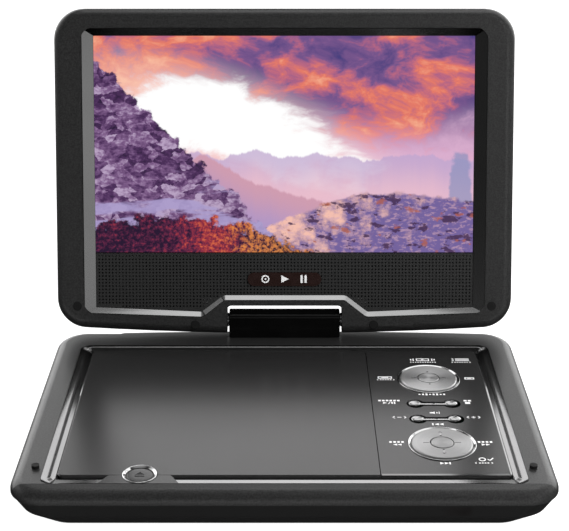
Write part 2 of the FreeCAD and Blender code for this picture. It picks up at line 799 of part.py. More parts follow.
def rocker(name, label, y):
    """A rocker with two domed ends, a thin bar and a trunnion across its middle."""
    ends = []
    for side in (-1, 1):
        end = rod(f"{name}_end_{side + 1}", "z", (d.pad_x + side * d.rocker_reach, y),
                  d.rocker_end, 21.6, d.plate_top + 1.3)
        ends.append(rounded(f"{name}_dome_{side + 1}", end, 1.2, lambda edge: is_circle(
            edge, d.rocker_end) and edge.BoundBox.ZMin > d.plate_top))
    bar = block(f"{name}_bar", (d.pad_x - d.rocker_reach, d.pad_x + d.rocker_reach),
                (y - 1.2, y + 1.2), (21.6, d.plate_top + 0.5))
    dot = rod(f"{name}_dot", "z", (d.pad_x, y), 1.8, 21.6, d.plate_top + 0.8)
    trunnion = rod(f"{name}_trunnion", "y", (d.pad_x, 21.5), 0.7, y - 3.4, y + 3.4)
    node(fuse(f"{name}_rocker", *ends, bar, dot, trunnion), label)


def key_board():
    """The circuit board under the keys, with a switch under each place that is pressed."""
    top = d.key_board_top
    node(plate("key_board_body", (51, 99), (-83, 31), (top - 1.2, top), Size(2)), "key_board")
    spots = [(d.pad_x + side * d.rocker_reach, y)
             for y in (d.play_y, d.volume_y) for side in (-1, 1)]
    for y in (d.rear_pad_y, d.front_pad_y):
        spots += [(d.pad_x, y), (d.pad_x - 9, y), (d.pad_x + 9, y), (d.pad_x, y - 9),
                  (d.pad_x, y + 9)]
    switches = []
    for number, (x, y) in enumerate(spots):
        can = block(f"switch_can_{number}", (x - 1.6, x + 1.6), (y - 1.6, y + 1.6),
                    (top, top + 0.9))
        plunger = rod(f"switch_plunger_{number}", "z", (x, y), 0.9, top + 0.9, top + 1.3)
        switches.append(fuse(f"switch_{number}", can, plunger))
    node(group("switches", *switches), "tact_switches")


# ---------------------------------------------------------------- electronics and ports

BOARD_Z = (12.2, 13.6)


def main_board():
    node(plate("board_body", (46, 104), (-84, 34), BOARD_Z, Size(2)), "main_board")
    top = BOARD_Z[1]
    chips = [(52, 66, -40, -26), (72, 84, -20, -8), (54, 64, 2, 10), (74, 88, 10, 22)]
    parts = [block(f"chip_{number}", (x0, x1), (y0, y1), (top, top + 1.6))
             for number, (x0, x1, y0, y1) in enumerate(chips)]
    parts += [rod(f"capacitor_{number}", "z", (93, -60 + 9 * number), 2.6, top, top + 2.6)
              for number in range(4)]
    node(group("board_chips", *parts), "board_parts")


def battery_pack():
    cells = [rounded(f"cell_{number}_round", block(
        f"cell_{number}", (48, 102), ys, (d.floor_bottom + d.skin + 0.2, 11.4)), 1.5,
        lambda edge: edge.BoundBox.XLength > 50) for number, ys in enumerate(
            [(-80, -26), (-25, 29)])]
    node(group("cells", *cells), "battery_pack")


def jack(name, y, hole):
    """A socket whose body is inside the case and whose nose stands in the bay's wall."""
    inner_end = BAY_FACE - BAY_WALL
    body = block(f"{name}_block", (105.5, inner_end), (y - 3.6, y + 3.6),
                 (PORT_Z - 3.4, PORT_Z + 3.4))
    nose = rod(f"{name}_nose", "x", (y, PORT_Z), 3, inner_end - 1, BAY_FACE + 0.4)
    bore = rod(f"{name}_bore", "x", (y, PORT_Z), hole, 107.5, BAY_FACE + 1)
    return cut(name, fuse(f"{name}_solid", body, nose), bore)


def ports():
    """What the two bays hold: sockets and the switch on the right, slots on the left."""
    plug_radius = 1.8
    node(group("headphones", *(jack(f"headphone_{number}", y, plug_radius)
                               for number, y in enumerate(HEADPHONES_Y))), "headphone_jacks")
    node(jack("av", AV_Y, plug_radius), "av_jack")

    inner_end = BAY_FACE - BAY_WALL
    shell = block("dc_block", (105.5, inner_end), (DC_Y - 4.6, DC_Y + 4.6),
                  (PORT_Z - 4, PORT_Z + 4))
    nose = rod("dc_nose", "x", (DC_Y, PORT_Z), 3.6, inner_end - 1, BAY_FACE + 0.2)
    hollow = rod("dc_bore", "x", (DC_Y, PORT_Z), 2.75, 108, BAY_FACE + 1)
    contact = rod("dc_pin", "x", (DC_Y, PORT_Z), 0.65, 106, BAY_FACE - 1)
    node(fuse("dc", cut("dc_shell", fuse("dc_solid", shell, nose), hollow), contact), "dc_jack")

    foot = block("knob_foot", (BAY_FACE - 3.6, BAY_FACE - 2.5), (SWITCH_Y - 4, SWITCH_Y + 2),
                 (PORT_Z - 2.4, PORT_Z + 2.4))
    knob = block("knob", (BAY_FACE - 2.6, BAY_FACE + 1.2), (SWITCH_Y - 4, SWITCH_Y),
                 (PORT_Z - 1.3, PORT_Z + 1.3))
    node(fuse("power", foot, knob), "power_switch")

    usb_end, card_end = -105.5, -97
    usb = block("usb_block", (-BAY_FACE, usb_end), (USB_Y - 6.6, USB_Y + 6.6),
                (PORT_Z - 2.9, PORT_Z + 2.9))
    usb_hollow = block("usb_hollow", (-BAY_FACE - 1, usb_end - 1), (USB_Y - 6.1, USB_Y + 6.1),
                       (PORT_Z - 2.4, PORT_Z + 2.4))
    tongue = block("usb_tongue", (-BAY_FACE + 2, usb_end - 0.5), (USB_Y - 5.4, USB_Y + 5.4),
                   (PORT_Z + 0.3, PORT_Z + 2.2))
    node(fuse("usb", cut("usb_shell", usb, usb_hollow), tongue), "usb_port")
    card = block("card_block", (-BAY_FACE + 0.2, card_end), (CARD_Y - 13.5, CARD_Y + 13.5),
                 (PORT_Z - 1.9, PORT_Z + 1.9))
    card_hollow = block("card_hollow", (-BAY_FACE - 1, card_end - 1), (CARD_Y - 12.4, CARD_Y + 12.4),
                        (PORT_Z - 1.2, PORT_Z + 1.2))
    node(cut("card", card, card_hollow), "card_slot")


# ---------------------------------------------------------------- the disc drive


def disc_drive():
    """The loader under the well: chassis, motors, turntable, pickup and lead screw."""
    floor = d.loader_floor
    plate_top = floor + 1.4
    rods_y = [d.disc_y - d.rod_offset, d.disc_y + d.rod_offset]
    screw_y = rods_y[0] - 5
    holder_xs = [(-21, -18), (38, 41)]
    base = block("chassis_plate", (-82, 43), (-72, 16), (floor, plate_top))
    holders = []
    for number, xs in enumerate(holder_xs):
        holders.append(block(f"holder_front_{number}", xs, (screw_y - 3, rods_y[0] + 3),
                             (plate_top - 0.2, 13)))
        holders.append(block(f"holder_rear_{number}", xs, (rods_y[1] - 3, rods_y[1] + 3),
                             (plate_top - 0.2, 13)))
    tools = [rod(f"rod_seat_{number}", "x", (y, d.rod_height), 1.5, -30, 42)
             for number, y in enumerate(rods_y)]
    tools.append(rod("screw_seat", "x", (screw_y, d.rod_height), 1.5, -30, 39.5))
    node(cut("chassis", fuse("chassis_solid", base, *holders), *tools), "loader_chassis")

    corners = [(-76, -66), (37, -66), (-76, 10), (37, 10)]
    node(group("dampers", *(rod(f"damper_{number}", "z", at, 4, d.floor_bottom + d.skin, floor)
                            for number, at in enumerate(corners))), "loader_dampers")
    node(group("rods", *(rod(f"rod_{number}", "x", (y, d.rod_height), 1.5, -20.5, 40.5)
                         for number, y in enumerate(rods_y))), "guide_rods")

    centre = (d.disc_x, d.disc_y)
    can = rod("motor_can", "z", centre, d.motor_radius, plate_top, 12.6)
    node(cut("spindle", can, rod("motor_bore", "z", centre, 1.8, 7.6, 14)), "spindle_motor")
    hub = rounded("hub_round", rod("hub", "z", centre, d.hub_radius, d.disc_seat, d.hub_top), 1,
                  lambda edge: is_circle(edge, d.hub_radius) and edge.BoundBox.ZMin > 20)
    flange = rod("flange", "z", centre, 10.5, 16.4, d.disc_seat)
    spindle = rod("shaft", "z", centre, 1.5, 8, 16.4)
    node(fuse("table", spindle, flange, hub), "turntable")

    lens_x = d.disc_x + d.sled_start
    block_x = (lens_x - 9, lens_x + 9)
    sled = block("sled_block", block_x, (rods_y[0] - 3, rods_y[1] + 3), (8.2, 12.8))
    arm = block("sled_arm", (lens_x - 4, lens_x + 4), (screw_y - 3, rods_y[0]), (8.2, 8.9))
    collar = rod("lens_collar", "z", (lens_x, d.disc_y), 5, 12.8, 14.3)
    grooves = [rod(f"sled_bore_{number}", "x", (y, d.rod_height), 1.65, -30, 30)
               for number, y in enumerate(rods_y)]
    lens_hole = rod("lens_hole", "z", (lens_x, d.disc_y), 3, 11, 15)
    node(cut("sled", fuse("sled_solid", sled, arm, collar), *grooves, lens_hole), "pickup_sled")
    node(rod("lens", "z", (lens_x, d.disc_y), 2.6, 13.9, 15.5), "objective_lens")

    node(rod("screw", "x", (screw_y, d.rod_height), 1.2, -21.3, 39.2), "lead_screw")
    node(rod("sled_motor_can", "x", (screw_y, d.rod_height), 3.6, -40, -21.6), "sled_motor")


# ---------------------------------------------------------------- the hinge


def swivel():
    """The upright shaft under the turret, and what holds it under the base's skin."""
    at = (0, d.axis_y)
    under_skin = d.rim_top - d.skin
    slab = block("bracket_slab", (-24, 24), (50, 62.3), (under_skin - 1.6, under_skin))
    node(cut("bracket", slab, rod("bracket_bore", "z", at, d.shaft_radius + 0.1, 10, 30)),
         "swivel_plate")
    node(tube("swivel_tube", "z", at, d.shaft_radius, 2, 15.5, 30), "swivel_shaft")
    washer = tube("washer", "z", at, 4.7, d.shaft_radius, 19.4, under_skin - 1.8)
    hexagon = doc.addObject("Part::Prism", "nut_hexagon")
    hexagon.Polygon = 6
    bind(hexagon, Circumradius=4.7, Height=2.4)
    place(hexagon, 0, d.axis_y, 16.8)
    nut = cut("nut", hexagon, rod("nut_bore", "z", at, d.shaft_radius, 10, 30))
    node(group("nut_set", washer, nut), "swivel_nut")


def turret():
    """The block between base and lid: it turns on the shaft and carries the tilt pins."""
    half = d.turret_depth / 2
    top = d.axis_z + 5.1
    slab = block("turret_slab", (-d.turret_half, d.turret_half), (d.axis_y - half, d.axis_y + half),
                 (d.rim_top + 0.4, top))
    shaped = rounded("turret_round", slab, 2.2, lambda edge: edge.BoundBox.XLength > 10
                     and lies_at(edge, "z", top))
    ends = rounded("turret_ends", shaped, 0.6, lambda edge: stands_up(edge))
    boss = rod("turret_boss", "z", (0, d.axis_y), 5, d.rim_top + 0.1, d.rim_top + 1)
    tools = [rod("turret_bore", "z", (0, d.axis_y), d.shaft_radius, 20, 30)]
    for side in (-1, 1):
        near, far = sorted((side * 22, side * 32))
        tools.append(rod(f"turret_pin_bore_{side + 1}", "x", (d.axis_y, d.axis_z),
                         d.pin_radius + 0.1, near, far))
    node(cut("turret", fuse("turret_solid", ends, boss), *tools), "turret_body")


def tilt_hinge():
    """The friction pins that turn in the turret, and the brackets that hold them in the lid."""

    def hinge_pin(side):
        near, far = sorted((side * 22.4, side * 38))
        shank = rod(f"hinge_shank_{side + 1}", "x", (0, 0), d.pin_radius, near, far)
        near, far = sorted((side * (d.turret_half + 0.25), side * (d.notch_half - 0.25)))
        return fuse(f"hinge_pin_{side + 1}", shank,
                    rod(f"hinge_collar_{side + 1}", "x", (0, 0), 3.8, near, far))

    def bracket(side):
        near, far = sorted((side * 34.2, side * 46))
        arm = block(f"hinge_arm_{side + 1}", (near, far), (-3, 3), (-3.6, 12))
        return cut(f"hinge_bracket_{side + 1}", arm, rod(
            f"hinge_seat_{side + 1}", "x", (0, 0), d.pin_radius, *sorted((side * 30, side * 38))))

    node(mirrored_pair("hinge_pins", hinge_pin), "hinge_pins", on_lid=True)
    node(mirrored_pair("hinge_brackets", bracket), "hinge_brackets", on_lid=True)


# ---------------------------------------------------------------- the lid
# In the lid's own frame Z runs up the lid from the tilt axis and the screen faces -Y.

PLUGS = [(-113.6, 8.3), (-49, -2), (49, -2), (113.6, 8.3)]


def bevel_path(inner, clearance=0.0):
    """The corners of the display frame's inner or outer edge, from its lower middle round."""
    if inner:
        half, top = d.bevel_inner, d.bevel_top_inner
        low = [(33.6, 14), (45.6, 4.9), (half, 7.4)]
    else:
        half, top = d.bevel_outer, d.bevel_top_outer
        low = [(33, 11.2), (44.8, 2), (half, 4.2)]
    right = [(x - (clearance if x is half else 0), z + clearance) for x, z in low]
    right.append((half - clearance, top - clearance))
    left = [(-x, z) for x, z in reversed(right)]
    return right + left


def bevel_outline(sketch, points, inner):
    """A path round the display frame, with its four lower bends rounded."""
    upper, lower = (d.wide_bend, d.tight_bend) if inner else (d.tight_bend, d.wide_bend)
    last = len(points) - 1
    polygon(sketch, points, {0: upper, 1: lower, last - 1: lower, last: upper})


def lid_half_shell(name, forward):
    """One half of the lid's case: hollow, rounded outside, with walls round the notch."""
    body = new_body(f"{name}_body")
    face = -d.lid_half if forward else d.lid_half
    outside = sketch_on(body, f"{name}_outline", "XZ_Plane")
    lid_outline(outside, 0)
    pad(body, outside, d.lid_half, reverse=not forward)
    dress(body, "Fillet", d.lid_round, lambda edge: lies_at(edge, "y", face))
    hollow = sketch_on(body, f"{name}_hollow", "XZ_Plane")
    lid_outline(hollow, d.wall)
    pocket(body, hollow, d.lid_half - d.skin, reverse=forward)
    walls = sketch_on(body, f"{name}_notch_walls", "XZ_Plane")
    rectangle(walls, (-d.notch_half - 2, d.notch_half + 2), (-5.4, d.notch_top + 1.8))
    pad(body, walls, 5.2, reverse=not forward)
    notch = sketch_on(body, f"{name}_notch", "XZ_Plane")
    rectangle(notch, (-d.notch_half, d.notch_half), (-d.lid_bottom - 3, d.notch_top))
    pocket(body, notch, d.lid_half, reverse=forward)
    dress(body, "Fillet", d.notch_round, lambda edge: runs_through(edge)
          and abs(edge.BoundBox.ZMin - d.notch_top) < 0.01)
    if forward:
        opening = sketch_on(body, "bezel_opening", "XZ_Plane")
        bevel_outline(opening, bevel_path(inner=False), inner=False)
        pocket(body, opening, d.lid_half, reverse=True)
        plug_holes = sketch_on(body, "plug_holes", "XZ_Plane")
        for x, z in PLUGS:
            circle(plug_holes, x, z, Size(2.5))
        pocket(body, plug_holes, d.lid_half, reverse=True)
    return body


def lid_case():
    for name, forward in (("lid_front_bezel", True), ("lid_rear_cover", False)):
        half = lid_half_shell(name, forward)
        seats = [rod(f"{name}_pin_seat_{side + 1}", "x", (0, 0), d.pin_radius + 0.05,
                     *sorted((side * 30, side * 37))) for side in (-1, 1)]
        node(cut(f"{name}_shell", half, *seats), name, on_lid=True)
    plugs = [rounded(f"plug_{number}_round", rod(
        f"plug_{number}", "y", (x, z), 2.5, -d.lid_half - 0.3, -d.lid_half + d.skin), 0.3,
        lambda edge: is_circle(edge, 2.5) and edge.BoundBox.YMax < -d.lid_half)
        for number, (x, z) in enumerate(PLUGS)]
    node(group("plugs", *plugs), "lid_screw_plugs", on_lid=True)


def display():
    """The bevelled frame, the glass, the panel behind it, the grille, badge and speakers."""
    body = new_body("bevel_body")
    back = 3.4
    outside = sketch_on(body, "bevel_outline", "XZ_Plane", Size(back))
    bevel_outline(outside, bevel_path(inner=False, clearance=0.1), inner=False)
    pad(body, outside, d.lid_half - back)
    opening = sketch_on(body, "bevel_opening", "XZ_Plane", d.lid_half)
    bevel_outline(opening, bevel_path(inner=True), inner=True)
    pocket(body, opening, d.lid_half - back)
    low = sketch_on(body, "bevel_low", "XZ_Plane", d.glass_face + 0.2)
    bevel_outline(low, bevel_path(inner=True), inner=True)
    high = sketch_on(body, "bevel_high", "XZ_Plane", d.lid_half)
    bevel_outline(high, bevel_path(inner=False, clearance=0.5), inner=False)
    loft(body, "SubtractiveLoft", [low, high])
    node(body, "lid_bevel_frame", on_lid=True)

    side = d.bevel_inner - 0.1
    node(plate_on_lid("glass", (-side, side), (d.screen_bottom + 0.3, d.bevel_top_inner - 0.1),
                      (back, d.glass_face), Size(0.5)), "display_glass", on_lid=True)
    node(plate_on_lid("lcd", (-106, 106), (34, 158), (0, back - 0.2), Size(1)), "lcd_module",
         on_lid=True)

    grille = new_body("grille_body")
    outline = sketch_on(grille, "grille_outline", "XZ_Plane", Size(back))
    edge = bevel_path(inner=True, clearance=0.1)
    bevel_outline(outline, [*edge[:3], (side, d.screen_bottom), (-side, d.screen_bottom),
                            *edge[5:]], inner=True)
    pad(grille, outline, 1)
    node(grille, "grille_panel", on_lid=True)

    node(plate_on_lid("badge", (-20.2, 20.2), (19.2, 26.6), (back + 1, back + 1.9), Size(3.6)),
         "badge_plate", on_lid=True)

    def speaker(side):
        at = (side * 84, 22)
        cone = rod(f"speaker_basket_{side + 1}", "y", at, 11.2, -back + 0.1, 0)
        magnet = rod(f"speaker_magnet_{side + 1}", "y", at, 6, 0, 4)
        return fuse(f"speaker_{side + 1}", cone, magnet)

    node(mirrored_pair("speaker_pair", speaker), "speakers", on_lid=True)


def plate_on_lid(name, xs, zs, thick, corner):
    """A plate with rounded corners, parallel to the lid, from one depth to another."""
    body = new_body(f"{name}_body")
    outline = sketch_on(body, f"{name}_outline", "XZ_Plane", Size(thick[0]))
    rounded_rectangle(outline, xs, zs, corner)
    pad(body, outline, thick[1] - thick[0])
    return body


# ---------------------------------------------------------------- build and export


def build():
    base_upper_shell()
    base_lower_shell()
    base_screws()
    rubber_feet()
    closing_pegs()
    base_trim_frame()
    disc_deck()
    disc_door()
    opening_button()
    key_panel()
    pad_set("rear_pad", d.rear_pad_y)
    pad_set("front_pad", d.front_pad_y)
    rocker("play", "play_stop_rocker", d.play_y)
    rocker("volume", "volume_rocker", d.volume_y)
    key_board()
    main_board()
    battery_pack()
    ports()
    disc_drive()
    swivel()
    turret()
    tilt_hinge()
    lid_case()
    display()


def check():
    """Stop if any feature failed or any sub-part is not a sound solid."""
    doc.recompute()
    for item in doc.Objects:
        faults = {"Invalid", "Error"} & set(item.State)
        if faults:
            raise RuntimeError(f"{item.Name} ({item.Label}): {sorted(faults)}")
    for label, piece in nodes.items():
        shape = piece.Shape
        if shape.isNull() or not shape.isValid() or shape.Volume <= 0:
            raise RuntimeError(f"{label} is not a sound solid")


def export():
    os.makedirs("parts", exist_ok=True)
    for label, piece in nodes.items():
        piece.Shape.exportStep(f"parts/{label}.step")
        box = piece.Shape.BoundBox
        print(f"{label:22s} {piece.Shape.Volume:10.1f} mm3  x {box.XMin:7.1f} {box.XMax:7.1f}"
              f"  y {box.YMin:7.1f} {box.YMax:7.1f}  z {box.ZMin:6.1f} {box.ZMax:6.1f}")


build()
check()
export()
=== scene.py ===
"""The looks of a portable disc player: materials, printed marks, the picture on its display and the studio.

Lengths are in metres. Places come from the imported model, so every piece sits on the part that carries it.
"""

import json
import math

import bmesh
import bpy
from mathutils import Matrix, Vector

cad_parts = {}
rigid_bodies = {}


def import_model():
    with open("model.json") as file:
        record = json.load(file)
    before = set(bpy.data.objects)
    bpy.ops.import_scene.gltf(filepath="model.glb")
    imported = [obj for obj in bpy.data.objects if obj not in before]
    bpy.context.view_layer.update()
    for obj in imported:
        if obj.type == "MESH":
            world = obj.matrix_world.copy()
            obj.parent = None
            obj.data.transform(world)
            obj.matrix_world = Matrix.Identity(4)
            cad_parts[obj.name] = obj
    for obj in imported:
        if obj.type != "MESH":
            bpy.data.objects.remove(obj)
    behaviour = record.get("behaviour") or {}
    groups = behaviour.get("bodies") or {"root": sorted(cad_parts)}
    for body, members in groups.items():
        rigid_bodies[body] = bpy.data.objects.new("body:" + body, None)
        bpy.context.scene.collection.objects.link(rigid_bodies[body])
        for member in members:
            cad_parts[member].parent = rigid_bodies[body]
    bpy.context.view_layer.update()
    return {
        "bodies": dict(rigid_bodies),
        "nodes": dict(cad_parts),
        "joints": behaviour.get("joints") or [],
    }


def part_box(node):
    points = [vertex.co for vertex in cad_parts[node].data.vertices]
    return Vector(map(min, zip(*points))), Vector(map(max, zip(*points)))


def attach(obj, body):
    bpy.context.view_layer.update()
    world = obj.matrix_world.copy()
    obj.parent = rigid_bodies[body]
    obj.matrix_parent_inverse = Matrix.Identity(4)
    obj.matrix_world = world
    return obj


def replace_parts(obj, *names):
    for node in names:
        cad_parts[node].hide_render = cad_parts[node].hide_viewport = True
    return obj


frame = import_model()

MM = 0.001


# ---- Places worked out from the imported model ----


def joint(name):
    return next(found for found in frame["joints"] if found["name"] == name)


def top_of(node):
    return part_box(node)[1].z


def centre_of(node):
    low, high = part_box(node)
    return (low + high) / 2


TILT_AXIS = Vector(joint("lid_tilt")["pos_m"])
LEAN = math.radians(90 + joint("lid_tilt")["range_deg"][0])

# The lid's own frame: X across, Y out of the front of the lid, Z up from the tilt axis.
LID = Matrix.Translation(TILT_AXIS) @ Matrix.Rotation(-LEAN, 4, "X") @ Matrix.Diagonal((1, -1, 1, 1))


def on_lid(across, up, out):
    return LID @ Vector((across, out, up))


def up_the_lid(height, out):
    """How far up the lid a point is that stands at this height and this far out of its front."""
    return (height - TILT_AXIS.z - out * math.sin(LEAN)) / math.cos(LEAN)


# ---- Node trees written as arithmetic ----


class Field:
    """A value or colour that varies over a surface. Arithmetic on it adds Math nodes to its tree."""

    def __init__(self, tree, socket):
        self.tree = tree
        self.socket = socket

    def __add__(self, other):
        return operate("ADD", self, other)

    def __radd__(self, other):
        return operate("ADD", other, self)

    def __sub__(self, other):
        return operate("SUBTRACT", self, other)

    def __rsub__(self, other):
        return operate("SUBTRACT", other, self)

    def __mul__(self, other):
        return operate("MULTIPLY", self, other)

    def __truediv__(self, other):
        return operate("DIVIDE", self, other)

    def rise(self, low, high):
        """0 up to low, 1 from high on, and smooth between. With low above high it falls instead."""
        if low > high:
            return 1 - self.rise(high, low)
        node = self.tree.nodes.new("ShaderNodeMapRange")
        node.interpolation_type = "SMOOTHSTEP"
        feed(node.inputs["From Min"], low)
        feed(node.inputs["From Max"], high)
        feed(node.inputs["Value"], self)
        return Field(self.tree, node.outputs["Result"])


def feed(socket, value):
    if isinstance(value, Field):
        value.tree.links.new(value.socket, socket)
    elif socket.type == "RGBA":
        socket.default_value = (*value, 1)
    else:
        socket.default_value = value


def operate(operation, *values):
    tree = next(value.tree for value in values if isinstance(value, Field))
    node = tree.nodes.new("ShaderNodeMath")
    node.operation = operation
    for socket, value in zip(node.inputs, values):
        feed(socket, value)
    return Field(tree, node.outputs[0])


def place_on_surface(tree):
    """The point's place on the part, in metres, which doesn't change when the part moves."""
    return Field(tree, tree.nodes.new("ShaderNodeTexCoord").outputs["Object"])


def parts_of(vector):
    node = vector.tree.nodes.new("ShaderNodeSeparateXYZ")
    feed(node.inputs[0], vector)
    return [Field(vector.tree, output) for output in node.outputs]


def joined(tree, *values):
    node = tree.nodes.new("ShaderNodeCombineXYZ")
    for socket, value in zip(node.inputs, values):
        feed(socket, value)
    return Field(tree, node.outputs[0])


def scaled(vector, *factors):
    node = vector.tree.nodes.new("ShaderNodeVectorMath")
    node.operation = "MULTIPLY"
    feed(node.inputs[0], vector)
    node.inputs[1].default_value = factors
    return Field(vector.tree, node.outputs[0])


def noise(where, scale, detail=2.0, roughness=0.5):
    node = where.tree.nodes.new("ShaderNodeTexNoise")
    feed(node.inputs["Vector"], where)
    feed(node.inputs["Scale"], scale)
    feed(node.inputs["Detail"], detail)
    feed(node.inputs["Roughness"], roughness)
    return Field(where.tree, node.outputs["Fac"])


def cells(where, scale, output="Distance"):
    node = where.tree.nodes.new("ShaderNodeTexVoronoi")
    feed(node.inputs["Vector"], where)
    feed(node.inputs["Scale"], scale)
    return Field(where.tree, node.outputs[output])


def mixed(share, first, second):
    """first where share is 0 and second where it is 1, both colours."""
    tree = next(value.tree for value in (share, first, second) if isinstance(value, Field))
    node = tree.nodes.new("ShaderNodeMix")
    node.data_type = "RGBA"
    feed(node.inputs["Factor"], share)
    colours = [socket for socket in node.inputs if socket.type == "RGBA"]
    feed(colours[0], first)
    feed(colours[1], second)
    shown = next(socket for socket in node.outputs if socket.type == "RGBA")
    return Field(tree, shown)


def graded(value, *stops):
    """A colour ramp; each stop is its position and its colour."""
    node = value.tree.nodes.new("ShaderNodeValToRGB")
    feed(node.inputs[0], value)
    ramp = node.color_ramp
    while len(ramp.elements) < len(stops):
        ramp.elements.new(0.5)
    for element, (position, colour) in zip(ramp.elements, stops):
        element.position = position
        element.color = (*colour, 1)
    return Field(value.tree, node.outputs["Color"])


def relief(height, depth):
    """A bump where height runs from 0 to 1 over depth metres."""
    node = height.tree.nodes.new("ShaderNodeBump")
    feed(node.inputs["Height"], height)
    feed(node.inputs["Distance"], depth)
    return Field(height.tree, node.outputs["Normal"])


# ---- Materials ----


def grey(level):
    return (level, level, level)


class Finish:
    """One material: its Principled shader, its node tree and the place on the surface."""

    def __init__(self, name, **sockets):
        self.material = bpy.data.materials.new(name)
        self.material.use_nodes = True
        self.tree = self.material.node_tree
        self.shader = self.tree.nodes["Principled BSDF"]
        self.where = place_on_surface(self.tree)
        self.set(**sockets)

    def set(self, **sockets):
        for name, value in sockets.items():
            feed(self.shader.inputs[name.replace("_", " ").title().replace("Ior", "IOR")], value)

    def uneven(self, low, high, size):
        """A roughness that wanders between low and high over patches of that size in mm."""
        patches = noise(self.where, 1 / (size * MM), 3.0)
        self.set(Roughness=low + patches.rise(0.3, 0.7) * (high - low))


def grained(name):
    """A moulded plastic: its colour and its surface follow one fine grain."""
    roughness, grain, dark, light, sockets = GRAINED[name]
    finish = Finish(name, **sockets)
    finish.uneven(*roughness)
    width, depth = grain
    texture = noise(finish.where, 1 / (width * MM))
    finish.set(
        Base_Color=graded(texture, (0.3, dark), (0.7, light)),
        Normal=relief(texture, depth * MM),
    )
    return finish


def clouded(name):
    """A smooth metal, paint or glass: its colour drifts a little from place to place."""
    roughness, size, dark, light, sockets = CLOUDED[name]
    finish = Finish(name, **sockets)
    finish.uneven(*roughness)
    drift = noise(finish.where, 1 / (size * MM))
    finish.set(Base_Color=graded(drift, (0.3, dark), (0.7, light)))
    return finish


DULL = {"Specular_IOR_Level": 0.4}
METAL = {"Metallic": 1.0}
COATED = {"Coat_Weight": 1.0, "Coat_Roughness": 0.03}

# Each row: (least roughness, greatest roughness, patch in mm), (grain's width, depth in mm), dark colour,
# light colour, other sockets.
GRAINED = {
    "lower_plastic": ((0.50, 0.53, 12), (0.35, 0.02), grey(0.006), grey(0.011), DULL),
    "inner_plastic": ((0.45, 0.55, 6), (0.30, 0.015), grey(0.022), grey(0.032), {}),
    "rubber_black": ((0.62, 0.78, 3), (0.20, 0.01), grey(0.005), grey(0.009), {"Specular_IOR_Level": 0.3}),
    "chips": ((0.50, 0.62, 2), (0.15, 0.01), grey(0.014), grey(0.022), {}),
    "jack_black": ((0.40, 0.50, 2), (0.20, 0.01), grey(0.0096), grey(0.012), {}),
    "jack_yellow": ((0.40, 0.50, 2), (0.20, 0.01), (0.576, 0.4, 0.016), (0.72, 0.50, 0.02), {}),
    "grille_plastic": ((0.42, 0.52, 10), (0.30, 0.008), grey(0.013), grey(0.019), DULL),
    "speaker_body": ((0.40, 0.60, 3), (0.40, 0.02), grey(0.02), grey(0.035), {"Metallic": 0.3}),
}

# Each row: (least roughness, greatest roughness, patch in mm), cloud in mm, dark colour, light colour,
# other sockets.
CLOUDED = {
    "gloss_trim": ((0.15, 0.18, 60), 40, grey(0.26), grey(0.30), METAL),
    "silver_keys": ((0.24, 0.28, 8), 1.5, grey(0.42), grey(0.47), METAL),
    "chrome_ring": ((0.06, 0.12, 4), 5, grey(0.55), grey(0.62), METAL),
    # The bright metal of the strips laid along edges as painted highlights.
    "edge_highlight_line": ((0.12, 0.16, 20), 15, grey(0.17), grey(0.20), METAL),
    "turret_gloss": ((0.12, 0.20, 20), 12, grey(0.0015), grey(0.0025), DULL),
    "dark_window": ((0.42, 0.50, 8), 6, (0.0065, 0.0058, 0.0058), (0.0095, 0.0088, 0.0088), DULL),
    "lcd_glass": ((0.25, 0.35, 20), 15, grey(0.10), grey(0.14), {}),
    "lens_glass": ((0.04, 0.08, 2), 2, (0.03, 0.05, 0.13), (0.08, 0.05, 0.16), COATED),
    "badge_gloss": ((0.12, 0.20, 6), 4, (0.013, 0.006, 0.005), (0.018, 0.009, 0.008), {}),
}


def rim_plastic():
    """Satin black with a fine grain. The front rim's flat leans forward a little, as a soft dome does."""
    forward_lean = 0.20
    finish = Finish("rim_plastic")
    finish.uneven(0.35, 0.37, 9)
    flakes = noise(finish.where, 1 / (0.8 * MM), 1.0)
    along = parts_of(finish.where)[1]
    ahead = operate("MINIMUM", along - TRIM_LOW.y, 0)
    finish.set(
        Base_Color=graded(flakes, (0.3, grey(0.009)), (0.7, grey(0.022))),
        Specular_IOR_Level=0.42 + flakes * 0.18,
        Normal=relief(flakes * (0.012 * MM) + ahead * forward_lean, 1.0),
    )
    return finish


def panel_finish():
    """The door and the key panel: black with a fine leather grain that softens its reflections."""
    finish = Finish("panel_finish")
    finish.uneven(0.26, 0.27, 30)
    pebbles = noise(finish.where, 1 / (0.9 * MM), 1.0)
    finish.set(
        Base_Color=graded(pebbles, (0.3, grey(0.011)), (0.7, grey(0.017))),
        Specular_IOR_Level=0.55 + pebbles * 0.10,
        Normal=relief(pebbles, 0.005 * MM),
    )
    return finish


def spun_metal(name, centre, lightness):
    """Silver turned on a lathe: fine grooves round the centre stretch the highlights across them."""
    finish = Finish(name, Metallic=1.0, Anisotropic=0.6, Roughness=0.40)
    x, y, z = parts_of(finish.where)
    from_x, from_y = x - centre.x, y - centre.y
    radius = operate("SQRT", from_x * from_x + from_y * from_y)
    grooves = noise(joined(finish.tree, radius, z, 0), 1 / (0.22 * MM), 2.0)
    finish.set(Base_Color=graded(grooves, (0.25, grey(lightness * 0.85)), (0.75, grey(lightness * 1.15))))
    finish.set(Tangent=joined(finish.tree, from_x, from_y, 0))
    return finish.material


def steel():
    finish = Finish("steel", Metallic=1.0)
    finish.uneven(0.22, 0.36, 2)
    streaks = noise(scaled(finish.where, 0.1, 1, 1), 1 / (0.2 * MM), 2.0)
    finish.set(Base_Color=graded(streaks, (0.3, (0.47, 0.47, 0.48)), (0.7, (0.60, 0.60, 0.61))))
    return finish


